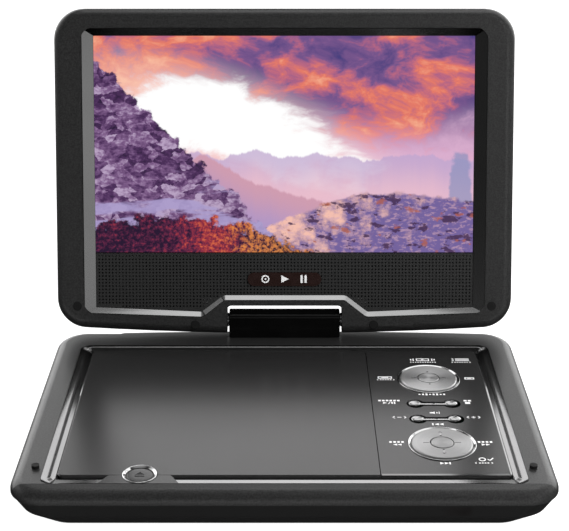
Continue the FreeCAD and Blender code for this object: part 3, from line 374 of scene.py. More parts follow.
def board_green():
    finish = Finish("board_green")
    tracks = cells(finish.where, 1 / (2.2 * MM))
    finish.set(Base_Color=graded(tracks, (0.35, (0.01, 0.07, 0.028)), (0.5, (0.018, 0.115, 0.045))))
    finish.uneven(0.3, 0.42, 4)
    return finish


def battery_wrap():
    finish = Finish("cells", Coat_Weight=0.4)
    finish.uneven(0.3, 0.45, 8)
    wrinkles = noise(finish.where, 1 / (5 * MM), 3.0)
    finish.set(
        Base_Color=graded(wrinkles, (0.3, (0.02, 0.06, 0.16)), (0.7, (0.03, 0.085, 0.21))),
        Normal=relief(wrinkles, 0.2 * MM),
    )
    return finish


def printed(name, colour):
    """Screen-printed ink, slightly uneven in cover."""
    finish = Finish(name, Specular_IOR_Level=0.3)
    cover = noise(finish.where, 1 / (0.3 * MM))
    thinner = [channel * 0.85 for channel in colour]
    finish.set(Base_Color=graded(cover, (0.3, thinner), (0.6, colour)))
    finish.uneven(0.5, 0.6, 1)
    return finish


# ---- The picture on the display: an invented evening landscape ----


SCREEN_LOW, SCREEN_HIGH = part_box("display_glass")
SCREEN_HALF = SCREEN_HIGH.x
GLASS_BACK = 3.4 * MM
GLASS_FACE = 4.6 * MM
SCREEN_FOOT = up_the_lid(SCREEN_LOW.z, GLASS_BACK)
SCREEN_HEAD = up_the_lid(SCREEN_HIGH.z, GLASS_FACE)


def screen_picture():
    """The lit display. across runs from -1 to 1 and up from 0 to 1 over the picture."""
    finish = Finish("screen_window", Base_Color=grey(0.004), Roughness=0.18, Specular_IOR_Level=0.25)
    tree = finish.tree
    x, y, z = parts_of(finish.where)
    up_lid = (z - TILT_AXIS.z) * math.cos(LEAN) + (y - TILT_AXIS.y) * math.sin(LEAN)
    across = x / SCREEN_HALF
    up = (up_lid - SCREEN_FOOT) / (SCREEN_HEAD - SCREEN_FOOT)
    here = joined(tree, across * 0.88, up, 0)

    # Sky: torn clouds from deep violet through rose to orange, and a long bright gap.
    drift = noise(scaled(here, 1.2, 1.6, 1), 1.7, 3.0)
    clouds = noise(joined(tree, across * 1.5 + drift * 0.9, up * 3.0 - drift * 0.6, 3), 1.6, 8.0, 0.62)
    sky = graded(
        clouds - across * 0.03 - 0.015,
        (0.34, (0.06, 0.045, 0.2)),
        (0.45, (0.19, 0.09, 0.26)),
        (0.51, (0.48, 0.13, 0.22)),
        (0.57, (0.78, 0.19, 0.13)),
        (0.68, (0.96, 0.48, 0.3)),
    )
    haze = (up + (clouds - 0.5) * 0.5).rise(0.70, 0.42)
    sky = mixed(haze * 0.85, sky, (0.8, 0.48, 0.68))
    from_left, above = across + 0.25, up - 0.56
    long_way, short_way = from_left * 1.55, (above + from_left * 0.30) * 5.0
    from_gap = operate("SQRT", long_way * long_way + short_way * short_way)
    gap = (from_gap + (clouds - 0.5) * 2.2).rise(1.15, 0.70)
    glow = (from_gap + (clouds - 0.5) * 0.9).rise(1.7, 0.7)
    sky = mixed(glow * 0.5, sky, (1.0, 0.76, 0.68))
    picture = mixed(gap, sky, (1.0, 1.0, 1.0))

    # Two lines of far mountains in the haze, and a tower of rock.
    far = 0.33 + noise(joined(tree, across * 2.6, 7, 0), 1.2, 6.0, 0.6) * 0.22
    peak = (0.14 - operate("ABSOLUTE", across + 0.12) * 0.55).rise(0, 0.16)
    far = far + peak * 0.07
    far_tone = mixed((up - far).rise(-0.20, 0.0), (0.8, 0.5, 0.6), (0.52, 0.38, 0.62))
    picture = mixed((up - far).rise(0.006, -0.006) * 0.8, picture, far_tone)
    crest = noise(joined(tree, across * 3.4, 19, 0), 1.6, 6.0, 0.6) * 0.16
    near = 0.36 - across.rise(-0.6, 0.4) * 0.22 + crest
    near_tone = mixed((up - near).rise(-0.22, 0.0), (0.42, 0.3, 0.56), (0.62, 0.33, 0.43))
    picture = mixed((up - near).rise(0.008, -0.008), picture, near_tone)
    ragged = noise(here, 16.0, 5.0, 0.65)
    from_tower = operate("ABSOLUTE", across - 0.93) + (ragged - 0.5) * 0.07
    tower = (from_tower - (0.5 - up) * 0.10).rise(0.045, 0.025)
    top_edge = (up + (ragged - 0.5) * 0.05).rise(0.475, 0.455)
    picture = mixed(tower * top_edge * 0.75, picture, (0.25, 0.28, 0.5))

    # The hill on the right: a lit flank, violet shade, and dark and rusty scrub.
    ground = noise(here, 9.0, 6.0, 0.62)
    hill = 0.01 + across.rise(-0.55, 0.5) * 0.27 - across.rise(0.5, 1.0) * 0.04 + (ground - 0.5) * 0.09
    lit = ((0.40 - across) * 0.8 + (ground - 0.5) * 2.8 + (up - hill) * 0.9).rise(-0.25, 0.40)
    hill_tone = mixed(lit, (0.17, 0.12, 0.33), (0.9, 0.52, 0.43))
    fine = noise(scaled(here, 1, 2.0, 1), 30.0, 4.0, 0.65)
    hill_tone = mixed(fine.rise(0.50, 0.62) * 0.55, hill_tone, (0.62, 0.38, 0.48))
    scrub = noise(scaled(here, 1, 1.9, 1), 11.0, 5.0, 0.62)
    hill_tone = mixed(scrub.rise(0.55, 0.60) * 0.9, hill_tone, (0.06, 0.025, 0.08))
    rust = noise(scaled(here, 1, 1.7, 1), 8.0, 5.0, 0.6).rise(0.58, 0.64)
    hill_tone = mixed(rust * 0.8, hill_tone, (0.42, 0.11, 0.06))
    picture = mixed((up - hill).rise(0.008, -0.008), picture, hill_tone)

    # The cliff on the left: blocks of dark rock, with pale ledges towards its foot.
    crags = noise(here, 5.0, 6.0, 0.6)
    cliff_line = (across + 1) * 0.88 + up + (crags - 0.5) * 0.26 + (ragged - 0.5) * 0.10
    blocks = cells(joined(tree, across * 17.0 + ragged * 1.2, up * 34.0 + crags * 5.0, 2), 1.0, "Color")
    grit = noise(scaled(here, 1, 1.5, 1), 42.0, 3.0, 0.6)
    block_tone = parts_of(blocks)[0] * 0.30 + ragged * 0.42 + grit * 0.50 - 0.11
    ledges = noise(joined(tree, across * 2.2, up * 13.0, 4), 1.0, 4.0, 0.55)
    rock = graded(
        block_tone + up.rise(0.45, 0.20) * 0.10 + (ledges - 0.5) * 0.5,
        (0.24, (0.018, 0.008, 0.035)),
        (0.42, (0.075, 0.028, 0.105)),
        (0.56, (0.21, 0.11, 0.25)),
        (0.70, (0.48, 0.36, 0.54)),
    )
    snow = (ledges + up.rise(0.36, 0.22) * 0.16).rise(0.60, 0.68) * up.rise(0.5, 0.4)
    rock = mixed(snow * 0.85, rock, (0.4, 0.33, 0.6))
    picture = mixed(cliff_line.rise(0.905, 0.89), picture, rock)

    # Autumn bushes at the foot of the cliff: plum, crimson and a little orange.
    leaves = noise(here, 55.0, 4.0, 0.7)
    clumps = noise(here, 13.0, 4.0, 0.6)
    bush_line = 0.17 - (across + 0.62) * (across + 0.62) * 0.30 + (clumps - 0.5) * 0.22
    redness = (0.17 - operate("ABSOLUTE", across + 0.36)) * 0.8
    redness = operate("MAXIMUM", redness, -0.10) + (clumps - 0.5) * 0.5
    bush_tone = graded(
        leaves + redness,
        (0.36, (0.018, 0.006, 0.028)),
        (0.50, (0.105, 0.016, 0.055)),
        (0.62, (0.33, 0.03, 0.05)),
        (0.78, (0.72, 0.15, 0.06)),
    )
    gold = (across + (clumps - 0.5) * 0.6).rise(-0.32, -0.18) * leaves.rise(0.40, 0.60)
    bush_tone = mixed(gold * 0.8, bush_tone, (0.76, 0.27, 0.06))
    picture = mixed((up - bush_line).rise(0.012, -0.012), picture, bush_tone)

    finish.set(Emission_Color=picture, Emission_Strength=1.0)
    return finish


# ---- Flat marks and small solids ----


class Marks:
    """Thin raised shapes on a flat surface. to_world turns (across, along, height) into a place."""

    def __init__(self, name, to_world, thickness):
        self.name = name
        self.to_world = to_world
        self.thickness = thickness
        self.mesh = bmesh.new()

    def ring_of(self, points, height):
        return [self.mesh.verts.new(self.to_world(x, y, height)) for x, y in points]

    def polygon(self, points):
        low = self.ring_of(points, 0)
        high = self.ring_of(points, self.thickness)
        self.mesh.faces.new(high)
        self.mesh.faces.new(reversed(low))
        for i in range(len(points)):
            k = (i + 1) % len(points)
            self.mesh.faces.new((low[i], low[k], high[k], high[i]))

    def band(self, outer, inner):
        """The area between two outlines with the same number of points."""
        rings = [
            self.ring_of(outer, 0),
            self.ring_of(outer, self.thickness),
            self.ring_of(inner, self.thickness),
            self.ring_of(inner, 0),
        ]
        for a, b in zip(rings, rings[1:] + rings[:1]):
            for i in range(len(outer)):
                k = (i + 1) % len(outer)
                self.mesh.faces.new((a[i], a[k], b[k], b[i]))

    def bar(self, x, y, width, height):
        self.polygon(rectangle(x, y, width, height))

    def letters(self, x, y, count, pitch, width=1.2):
        """A row of upright blocks that stand for letters."""
        for place in range(count):
            self.bar(x + place * pitch, y, width, 1.5)

    def arrow(self, x, y, size, way=1):
        """A triangle that points right, or left where way is -1."""
        half = size / 2
        points = [(x - way * half, y - half), (x + way * half, y), (x - way * half, y + half)]
        self.polygon(points if way > 0 else points[::-1])

    def frame(self, x, y, width, height, line):
        """A rectangle drawn in line."""
        inner = rectangle(x, y, width - 2 * line, height - 2 * line)
        self.band(rectangle(x, y, width, height), inner)

    def stroke(self, start, stop, line):
        """A straight stroke from one point to another."""
        start, stop = Vector(start), Vector(stop)
        side = (stop - start).orthogonal().normalized() * line / 2
        self.polygon([start + side, stop + side, stop - side, start - side])

    def slash(self, x, y, size, line):
        self.stroke((x - size / 4, y - size / 2), (x + size / 4, y + size / 2), line)

    def note(self, x, y, width):
        """Small dots between two brackets."""
        for end in (-1, 1):
            self.chevron(x + end * width / 2, y, 1.3, 0 if end > 0 else math.pi, 0.35)
        count = int(width / 1.3) - 1
        for place in range(count):
            self.bar(x + (place - (count - 1) / 2) * 1.3, y, 0.8, 0.75)

    def speaker(self, x, y, size):
        """A loudspeaker with two waves."""
        half = size / 2
        front = [(x - half, y - half / 2), (x, y - half / 2), (x + half, y - half)]
        rear = [(x + half, y + half), (x, y + half / 2), (x - half, y + half / 2)]
        self.polygon(front + rear)
        for wave in (1, 2):
            self.bar(x + half + wave * 1.1, y, 0.45, half * (0.6 + 0.6 * wave))

    def chevron(self, x, y, size, turn, line):
        """Two strokes that meet at a point; turn 0 points right, a quarter turn points up."""
        spin = Matrix.Rotation(turn, 2)
        middle = Vector((x, y))
        tip = middle + spin @ Vector((size / 4, 0))
        for side in (-1, 1):
            self.stroke(tip, middle + spin @ Vector((-size / 4, side * size / 2)), line)

    def circle(self, x, y, outer, inner=0, count=32):
        if inner:
            self.band(circle_points(x, y, outer, count), circle_points(x, y, inner, count))
        else:
            self.polygon(circle_points(x, y, outer, count))

    def finish(self, body, material, slot):
        return made(self.name, self.mesh, body, material)


def rectangle(x, y, width, height):
    w, h = width / 2, height / 2
    return [(x - w, y - h), (x + w, y - h), (x + w, y + h), (x - w, y + h)]


def circle_points(x, y, radius, count=32):
    turns = [2 * math.pi * i / count for i in range(count)]
    return [(x + radius * math.cos(turn), y + radius * math.sin(turn)) for turn in turns]


def placed(name, data):
    thing = bpy.data.objects.new(name, data)
    bpy.context.scene.collection.objects.link(thing)
    return thing


def made(name, mesh, body, material):
    """An object from a bmesh, with its material, riding on its body."""
    bmesh.ops.recalc_face_normals(mesh, faces=mesh.faces)
    data = bpy.data.meshes.new(name)
    mesh.to_mesh(data)
    mesh.free()
    data.materials.append(material)
    piece = placed(name, data)
    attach(piece, body)
    return piece


def skin(mesh, rings):
    """Faces between one closed ring of points and the next, all with the same number of points."""
    for a, b in zip(rings, rings[1:]):
        for i in range(len(a)):
            k = (i + 1) % len(a)
            mesh.faces.new((a[i], a[k], b[k], b[i]))


def closed_skin(mesh, rings):
    """A skin over the rings with a face over each end."""
    skin(mesh, rings)
    mesh.faces.new(rings[0])
    mesh.faces.new(rings[-1])


def smooth_piece(piece, sharpest=35):
    """Smooth shading, with the edges that turn by more than this many degrees kept sharp."""
    piece.data.shade_smooth()
    piece.data.set_sharp_from_angle(angle=math.radians(sharpest))
    return piece


# ---- Pieces of the base ----


PLATE_TOP = top_of("control_panel_plate")
TRIM_LOW, TRIM_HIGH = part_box("base_trim_frame")
DOOR_LOW, DOOR_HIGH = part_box("disc_door")
PANEL_LOW, PANEL_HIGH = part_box("control_panel_plate")
TRIM_GAP = 0.4 * MM
REAR_GAP = 0.6 * MM

# How steeply the trim falls from the rim to the door, in degrees, at shares of its width.
SIDE_SLOPES = [(0, 32), (0.02, 30), (0.30, 18), (0.40, 11), (0.48, 7), (0.62, 7), (0.74, 14), (1.0, 24)]
REAR_SLOPES = [(0, 0), (0.34, 2), (0.42, 20), (0.46, 30), (0.48, 72), (0.60, 76), (0.601, 5), (1.0, 0)]
FRONT_SLOPES = [(0, 30), (0.1, 38), (0.3, 20), (0.42, 2), (0.70, 0), (0.75, 14), (1.0, 34)]
TRIM_STEPS = 48
OUTER_BEND = 5 * MM  # the radius of the trim's corners at the rim
INNER_BEND = 1 * MM  # and next to the door


def rounded_outline(low, high, radius, steps=6):
    """A rectangle with round corners, from its lower right: each point's x, y and the way it faces."""
    points = []
    corners = [(high.x - radius, low.y + radius), (high.x - radius, high.y - radius),
               (low.x + radius, high.y - radius), (low.x + radius, low.y + radius)]
    for quarter, (x, y) in enumerate(corners, -1):
        for step in range(steps + 1):
            turn = (quarter + step / steps) * math.pi / 2
            points.append((x + radius * math.cos(turn), y + radius * math.sin(turn), turn))
    return points


def slope_at(slopes, share):
    for (first, slope), (last, next_slope) in zip(slopes, slopes[1:]):
        if share <= last:
            return slope + (next_slope - slope) * (share - first) / (last - first)
    return slopes[-1][1]


def drops(slopes, width):
    """The drop below the rim at each step of the trim's width."""
    found = [0.0]
    for step in range(TRIM_STEPS):
        slope = slope_at(slopes, (step + 0.5) / TRIM_STEPS)
        found.append(found[-1] + math.tan(math.radians(slope)) * width / TRIM_STEPS)
    return found


def trim_channel(material):
    """The gutter round the door and the key panel, with its own fall at the sides, rear and front."""
    inside_low = Vector((DOOR_LOW.x - TRIM_GAP, DOOR_LOW.y - TRIM_GAP))
    inside_high = Vector((PANEL_HIGH.x + TRIM_GAP, PANEL_HIGH.y + REAR_GAP))
    outside_low, outside_high = TRIM_LOW.xy, TRIM_HIGH.xy
    side = drops(SIDE_SLOPES, outside_high.x - inside_high.x)
    rear = drops(REAR_SLOPES, outside_high.y - inside_high.y)
    front = drops(FRONT_SLOPES, inside_low.y - outside_low.y)
    mesh = bmesh.new()
    rings = []
    for step in range(-1, TRIM_STEPS + 2):
        level = min(max(step, 0), TRIM_STEPS)
        share = level / TRIM_STEPS
        low = outside_low.lerp(inside_low, share)
        high = outside_high.lerp(inside_high, share)
        bend = OUTER_BEND + (INNER_BEND - OUTER_BEND) * share
        ring = []
        for x, y, turn in rounded_outline(low, high, bend):
            end = front if math.sin(turn) < 0 else rear
            blend = abs(math.sin(turn)) ** 2
            height = TRIM_HIGH.z - side[level] * (1 - blend) - end[level] * blend
            if step != level:  # the first and last rings are the underside
                height = TRIM_LOW.z
            ring.append(mesh.verts.new((x, y, height)))
        rings.append(ring)
    skin(mesh, rings + rings[:1])
    piece = smooth_piece(made("trim_channel", mesh, "base", material), 60)
    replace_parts(piece, "base_trim_frame")


def radius_of(node):
    low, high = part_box(node)
    return (high.x - low.x) / 2


BUTTON = centre_of("open_button")
HOUSING_RADIUS = radius_of("open_button_ring")
BORE_RADIUS = 6.45 * MM
PAD_BORE_RADIUS = 15 * MM
BUTTON_SUNK = 0.6 * MM
BUTTON_RING_FALL = 0.9 * MM
PAD_RING_FALL = 0.5 * MM


def turned(mesh, centre, section, count=96):
    """A closed ring turned about an upright axis; the section is a closed list of (radius, height)."""
    rings = []
    for radius, height in section:
        points = circle_points(centre.x, centre.y, radius, count)
        rings.append([mesh.verts.new((x, y, height)) for x, y in points])
    skin(mesh, rings + rings[:1])


def button_housing(material):
    """The flat land on the rim that carries the opening button: two wings and a sleeve round the bore."""
    mesh = bmesh.new()
    front, rear = TRIM_LOW.y + 0.05 * MM, BUTTON.y - 0.6 * MM
    wide, narrow = 18.6 * MM, 14.3 * MM
    clear = HOUSING_RADIUS + 0.05 * MM
    low, high, bevel = TRIM_LOW.z, TRIM_HIGH.z, 0.25 * MM
    for side in (-1, 1):
        first = math.acos(min(1, (BUTTON.y - front) / clear))
        last = math.acos((BUTTON.y - rear) / clear)
        arc = [first + (last - first) * step / 10 for step in range(11)]
        outline = [(side * clear * math.sin(turn), -clear * math.cos(turn)) for turn in arc]
        outline += [(side * narrow, rear - BUTTON.y), (side * wide, front - BUTTON.y)]
        middle = Vector((side * (wide + clear) / 2, (front + rear) / 2 - BUTTON.y))
        rings = []
        for inset, height in ((0, low), (0, high - bevel), (bevel, high)):
            ring = []
            for x, y in outline:
                point = Vector((x, y))
                moved = BUTTON.xy + point + (middle - point).normalized() * inset
                ring.append(mesh.verts.new((*moved, height)))
            rings.append(ring)
        closed_skin(mesh, rings)
    sleeve_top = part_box("open_button_ring")[0].z
    turned(mesh, BUTTON, [(HOUSING_RADIUS, low), (HOUSING_RADIUS, sleeve_top),
                          (BORE_RADIUS, sleeve_top), (BORE_RADIUS, low)])
    piece = made("button_housing", mesh, "base", material)
    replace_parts(smooth_piece(piece), "base_trim_frame")


def bright_ring(name, node, inner, sunk, material):
    """A polished ring with a round crown that slopes in and down to its bore."""
    low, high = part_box(node)
    outer = radius_of(node)
    crown = min((outer - inner) * 0.22, high.z - low.z)
    section = [(outer, low.z)]
    for degrees in range(0, 136, 15):
        turn = math.radians(degrees)
        section.append((outer - crown + crown * math.cos(turn), high.z - crown + crown * math.sin(turn)))
    section.append((inner + crown * 0.4, high.z - sunk * 0.85))
    section.append((inner, high.z - sunk))
    section.append((inner, low.z - 0.5 * MM))
    mesh = bmesh.new()
    turned(mesh, centre_of(node), section)
    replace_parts(smooth_piece(made(name, mesh, "base", material), 60), node)


def button_cap(material):
    """The opening button's cap: a shallow dome with a rolled edge, sunk a little in its ring."""
    low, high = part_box("open_button")
    radius = radius_of("open_button")
    top = high.z - BUTTON_SUNK
    # Each pair: share of the radius, and fall from the top in mm.
    dome = [(1.0, 0.45), (0.985, 0.25), (0.95, 0.12), (0.88, 0.06), (0.5, 0.02), (0.02, 0)]
    section = [(1.0, low.z)] + [(share, top - fall * MM) for share, fall in dome]
    mesh = bmesh.new()
    rings = []
    for share, height in section:
        points = circle_points(BUTTON.x, BUTTON.y, radius * share, 96)
        rings.append([mesh.verts.new((x, y, height)) for x, y in points])
    closed_skin(mesh, rings)
    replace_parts(smooth_piece(made("button_cap", mesh, "button", material)), "open_button")


def edge_strip(name, corners, width, drop, lift, body, material):
    """A thin polished strip along an edge of a plate, laid there as a painted highlight. It leans outwards,
    to the right of its path.
    """
    mesh = bmesh.new()
    path = [Vector(corner) for corner in corners]
    rings = []
    for i, point in enumerate(path):
        before = (point - path[i - 1]).normalized() if i else (path[1] - point).normalized()
        after = (path[i + 1] - point).normalized() if i + 1 < len(path) else before
        side_before = Vector((before.y, -before.x))
        side_after = Vector((after.y, -after.x))
        side = (side_before + side_after) / (1 + side_before.dot(side_after))
        inner, outer = point - side * width, point
        top = PLATE_TOP + lift
        rings.append([
            mesh.verts.new((*inner, top - drop)), mesh.verts.new((*inner, top)),
            mesh.verts.new((*outer, top - drop + 0.02 * MM)), mesh.verts.new((*outer, top - drop)),
        ])
    closed_skin(mesh, rings)
    return made(name, mesh, body, material)


def plate_edge_highlights(metal):
    """Painted highlights: bright metal lines along the key panel's front and right, and a fine one along
    the door's left, where those edges catch the light. The lamps' reflections in them are rendered.
    """
    low, high = PANEL_LOW, PANEL_HIGH
    bend = 1.0 * MM
    corners = [(low.x + 0.3 * MM, low.y), (high.x - bend, low.y)]
    edge_strip("panel_front_highlight", corners, 1.4 * MM, 0.05 * MM, 0.06 * MM, "base", metal)
    corners = [(high.x - bend, low.y), (high.x - bend * 0.3, low.y + bend * 0.3), (high.x, low.y + bend),
               (high.x, high.y - 0.8 * MM)]
    edge_strip("panel_side_highlight", corners, 0.8 * MM, 0.16 * MM, 0.17 * MM, "base", metal)
    corners = [(DOOR_LOW.x, DOOR_HIGH.y - 1.8 * MM), (DOOR_LOW.x, DOOR_LOW.y * 0.4 + DOOR_HIGH.y * 0.6)]
    edge_strip("door_edge_highlight", corners, 0.5 * MM, 0.1 * MM, 0.11 * MM, "door", metal)


ROCKERS = {"play_stop_rocker": "play_keys", "volume_rocker": "volume_keys"}


def rocker_key(name, node, body, material):
    """A rocker: a thin bar that carries an egg-shaped dome at each end."""
    centre = centre_of(node)
    dome_height = top_of(node) - PLATE_TOP
    reach, foot_level = 9.1 * MM, PLATE_TOP - 1.2 * MM
    half_length, half_width, taper, overhang = 3.3 * MM, 2.9 * MM, 0.18, 0.9 * MM
    rise_steps = 14
    mesh = bmesh.new()
    for side in (-1, 1):
        middle = Vector((centre.x + side * reach - 0.4 * MM, centre.y + 0.5 * MM))
        rings = []
        for step in range(rise_steps + 1):
            rise = math.pi / 2 * step / rise_steps
            size = max(math.cos(rise), 0.02)
            height = PLATE_TOP - 0.2 * MM + dome_height * math.sin(rise)
            ring = []
            for x, y in circle_points(0, 0, size, 48):
                across = middle.x + x * half_length - (1 - size) * overhang
                along = middle.y + y * (1 - taper * x) * half_width
                ring.append(mesh.verts.new((across, along, height)))
            rings.append(ring)
        foot = [mesh.verts.new((vert.co.x, vert.co.y, foot_level)) for vert in rings[0]]
        closed_skin(mesh, [foot] + rings)
    # The bar's section: mm along the player, and mm up from the plate.
    ends = []
    section = [(-1.15, -1.2), (-1.15, 0.2), (-0.85, 0.36), (0.0, 0.36), (0.25, 0.2), (0.25, -1.2)]
    for x in (centre.x - reach, centre.x + reach):
        ends.append([mesh.verts.new((x, centre.y + y * MM, PLATE_TOP + z * MM)) for y, z in section])
    closed_skin(mesh, ends)
    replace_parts(smooth_piece(made(name, mesh, body, material), 50), node)


# ---- Printed marks ----


PRINT = 0.03 * MM


def on_plate(x, y, height):
    return Vector((x * MM, y * MM, PLATE_TOP + height))


def panel_print(material):
    """Generic symbols beside the keys, in millimetres across and along the panel."""
    marks = Marks("panel_print", on_plate, PRINT)
    rear, front = centre_of("rear_pad_cap") / MM, centre_of("front_pad_cap") / MM
    play, volume = centre_of("play_stop_rocker") / MM, centre_of("volume_rocker") / MM

    # Menu and picture source, behind the rear pad.
    for row in range(3):
        marks.bar(rear.x + 20.2, rear.y + 24.4 - row * 1.15, 7.4, 0.6)
        marks.bar(rear.x + 15.2, rear.y + 24.4 - row * 1.15, 1.0, 0.6)
    marks.note(rear.x + 19.4, rear.y + 20.2, 9.5)
    marks.frame(rear.x - 1.0, rear.y + 23.2, 7.0, 3.0, 0.6)
    marks.arrow(rear.x - 0.8, rear.y + 23.2, 1.6)
    for side in (-1, 1):
        marks.bar(rear.x - 1.0 + side * 5.0, rear.y + 23.2, 0.7, 2.6)
        marks.bar(rear.x - 1.0 + side * 6.3, rear.y + 23.2, 0.7, 1.6)
    marks.note(rear.x - 1.0, rear.y + 20.2, 13.0)

    # Left of the rear pad, right of it and in front of it.
    marks.frame(rear.x - 22.6, rear.y + 1.9, 7.4, 2.4, 0.55)
    marks.bar(rear.x - 22.6, rear.y + 1.9, 3.6, 0.6)
    marks.note(rear.x - 22.3, rear.y - 0.6, 8.4)
    marks.frame(rear.x + 21.4, rear.y + 0.9, 5.0, 2.2, 0.55)
    marks.bar(rear.x + 21.4, rear.y + 0.9, 2.0, 0.5)
    for column in range(8):
        marks.bar(rear.x - 6.2 + column * 1.8, rear.y - 17.3, 1.0, 1.0 + 0.5 * (column % 3))

    # Play and pause, and stop.
    marks.letters(play.x - 27.0, play.y + 3.4, 6, 1.9, 1.3)
    marks.arrow(play.x - 24.4, play.y + 0.9, 2.0)
    marks.slash(play.x - 22.2, play.y + 0.9, 2.2, 0.45)
    for side in (-1, 1):
        marks.bar(play.x - 20.2 + side * 0.65, play.y + 0.9, 0.7, 2.0)
    marks.letters(play.x + 16.2, play.y + 3.2, 2, 2.2, 1.6)
    marks.bar(play.x + 17.2, play.y + 0.8, 2.6, 1.9)

    # The loudspeaker over the volume rocker, and its minus and plus in brackets.
    marks.speaker(volume.x - 1.6, volume.y + 6.6, 2.4)
    for side in (-1, 1):
        middle = volume.x + side * 18.3
        marks.bar(middle, volume.y + 1.9, 2.0, 0.55)
        for end in (-1, 1):
            marks.chevron(middle + end * 2.8, volume.y + 1.9, 2.0, 0 if end > 0 else math.pi, 0.45)
    marks.bar(volume.x + 18.3, volume.y + 1.9, 0.55, 2.0)

    # Round the front pad: back, rewind, forward, next and accept.
    for column in (0, 1):
        marks.arrow(front.x - 0.6 + column * 2.3, front.y + 19.6, 2.1, -1)
        marks.arrow(front.x - 22.4 + column * 2.1, front.y - 0.6, 1.9, -1)
        marks.arrow(front.x + 19.7 + column * 2.1, front.y - 0.6, 1.9)
        marks.arrow(front.x - 1.8 + column * 2.1, front.y - 18.2, 1.9)
    marks.letters(front.x - 24.4, front.y + 1.9, 4, 1.9)
    marks.letters(front.x + 17.8, front.y + 1.9, 4, 1.9)
    marks.bar(front.x - 2.5, front.y + 19.6, 0.7, 2.1)
    marks.bar(front.x + 1.8, front.y - 18.2, 0.7, 1.9)
    marks.circle(front.x + 17.2, front.y - 14.6, 1.7, 1.15)
    marks.stroke((front.x + 19.8, front.y - 14.5), (front.x + 20.6, front.y - 15.7), 0.6)
    marks.stroke((front.x + 20.6, front.y - 15.7), (front.x + 22.4, front.y - 13.4), 0.6)
    marks.note(front.x + 17.6, front.y - 18.0, 7.6)
    marks.finish("base", material, "silver_keys")


def pad_marks(name, node, body, arrows, dark, light):
    """The ticks and dots on a round pad."""
    centre = centre_of(node)

    def on_cap(x, y, height):
        return Vector((centre.x + x * MM, centre.y + y * MM, top_of(node) + height))

    marks = Marks(name + "_ticks", on_cap, PRINT)
    for side in (-1, 1):
        marks.bar(side * 7.6, 0, 2.9, 0.32)
        marks.circle(0, side * 7.0, 0.5, count=16)
        if arrows:
            marks.chevron(0, side * 10.2, 1.5, side * math.pi / 2, 0.3)
    marks.finish(body, dark, "rubber_black")
    if arrows:
        marks = Marks(name + "_dots", on_cap, PRINT)
        for side in (-1, 1):
            marks.circle(0, side * 8.1, 0.4, count=16)
        marks.finish(body, light, "silver_keys")


def key_marks(dark):
    """The dark dot in the middle of each rocker, and the eject symbol on the opening button."""
    for node, body in ROCKERS.items():
        centre = centre_of(node) / MM
        marks = Marks(node + "_dot", on_plate, 0.47 * MM)
        marks.circle(centre.x, centre.y - 0.3, 0.55, count=20)
        marks.finish(body, dark, "rubber_black")

    def on_button(x, y, height):
        return Vector((BUTTON.x + x * MM, BUTTON.y + y * MM, top_of("open_button") - BUTTON_SUNK + height))

    marks = Marks("eject_symbol", on_button, PRINT)
    marks.polygon([(-2.2, 0.2), (2.2, 0.2), (0, 2.6)])
    marks.bar(0, -1.2, 4.4, 1.0)
    marks.finish("button", dark, "rubber_black")


# ---- Pieces of the lid ----


BADGE_FACE = 5.3 * MM

# The opening in the lid's front that the bevelled frame fills.
LID_FACE = 7 * MM
OPENING_HALF = 110 * MM
OPENING_FOOT = 4.2 * MM
OPENING_HEAD = 159.4 * MM

# The grille's holes, and its foot: over the notch, down a slope, and out to the corners.
HOLE_PITCH = 1.85 * MM
HOLE_RADIUS = 0.5 * MM
HOLE_MARGIN = 1.2 * MM
NOTCH_REACH, NOTCH_FOOT = 33.6 * MM, 14 * MM
SLOPE_REACH, SLOPE_FOOT = 45.6 * MM, 4.9 * MM
CORNER_RISE = 0.043


def badge_symbols(material):
    """Raised silver symbols on the badge: a disc, a play triangle and a pair of pause bars."""
    low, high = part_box("badge_plate")
    up = up_the_lid((low.z + high.z) / 2, BADGE_FACE * 0.8)

    def on_badge(x, y, height):
        return on_lid(x * MM, up + y * MM, BADGE_FACE + height)

    marks = Marks("badge_symbols", on_badge, 0.25 * MM)
    marks.circle(-10.5, 0, 2.2, 1.45, 48)
    marks.circle(-10.5, 0, 0.55, count=24)
    marks.arrow(0.3, 0, 4.2)
    for side in (-1, 1):
        marks.bar(10.5 + side * 1.1, 0, 1.2, 4.2)
    marks.finish("lid", material, "silver_keys")


def display_highlight_lines(material):
    """Painted highlights: thin bright metal lines where the display's window ends, along its foot and its
    right side, where the bevel's edge catches the light.
    """
    def on_face(x, y, height):
        return on_lid(x, y, GLASS_FACE + height)

    marks = Marks("display_highlight_lines", on_face, 0.04 * MM)
    line = 0.35 * MM
    marks.bar(0, SCREEN_FOOT + line / 2, 2 * SCREEN_HALF, line)
    marks.bar(SCREEN_HALF - line / 2, (SCREEN_FOOT + SCREEN_HEAD) / 2, line, SCREEN_HEAD - SCREEN_FOOT)
    marks.finish("lid", material, "gloss_trim")


def opening_corners(material):
    """Rounds off the four outer corners of the bevelled opening round the display."""
    proud, sunk, bend, steps = 0.02 * MM, 1.6 * MM, 6.4 * MM, 8

    def on_face(x, y, height):
        return on_lid(x, y, LID_FACE + proud - sunk + height)

    marks = Marks("opening_corners", on_face, sunk)
    for side in (-1, 1):
        for edge, inward in ((OPENING_FOOT, 1), (OPENING_HEAD, -1)):
            outline = [(side * OPENING_HALF, edge)]
            for step in range(steps + 1):
                turn = math.pi / 2 * step / steps
                across = side * (OPENING_HALF - bend * (1 - math.cos(turn)))
                outline.append((across, edge + inward * bend * (1 - math.sin(turn))))
            marks.polygon(outline)
    marks.finish("lid", material, "rim_plastic")


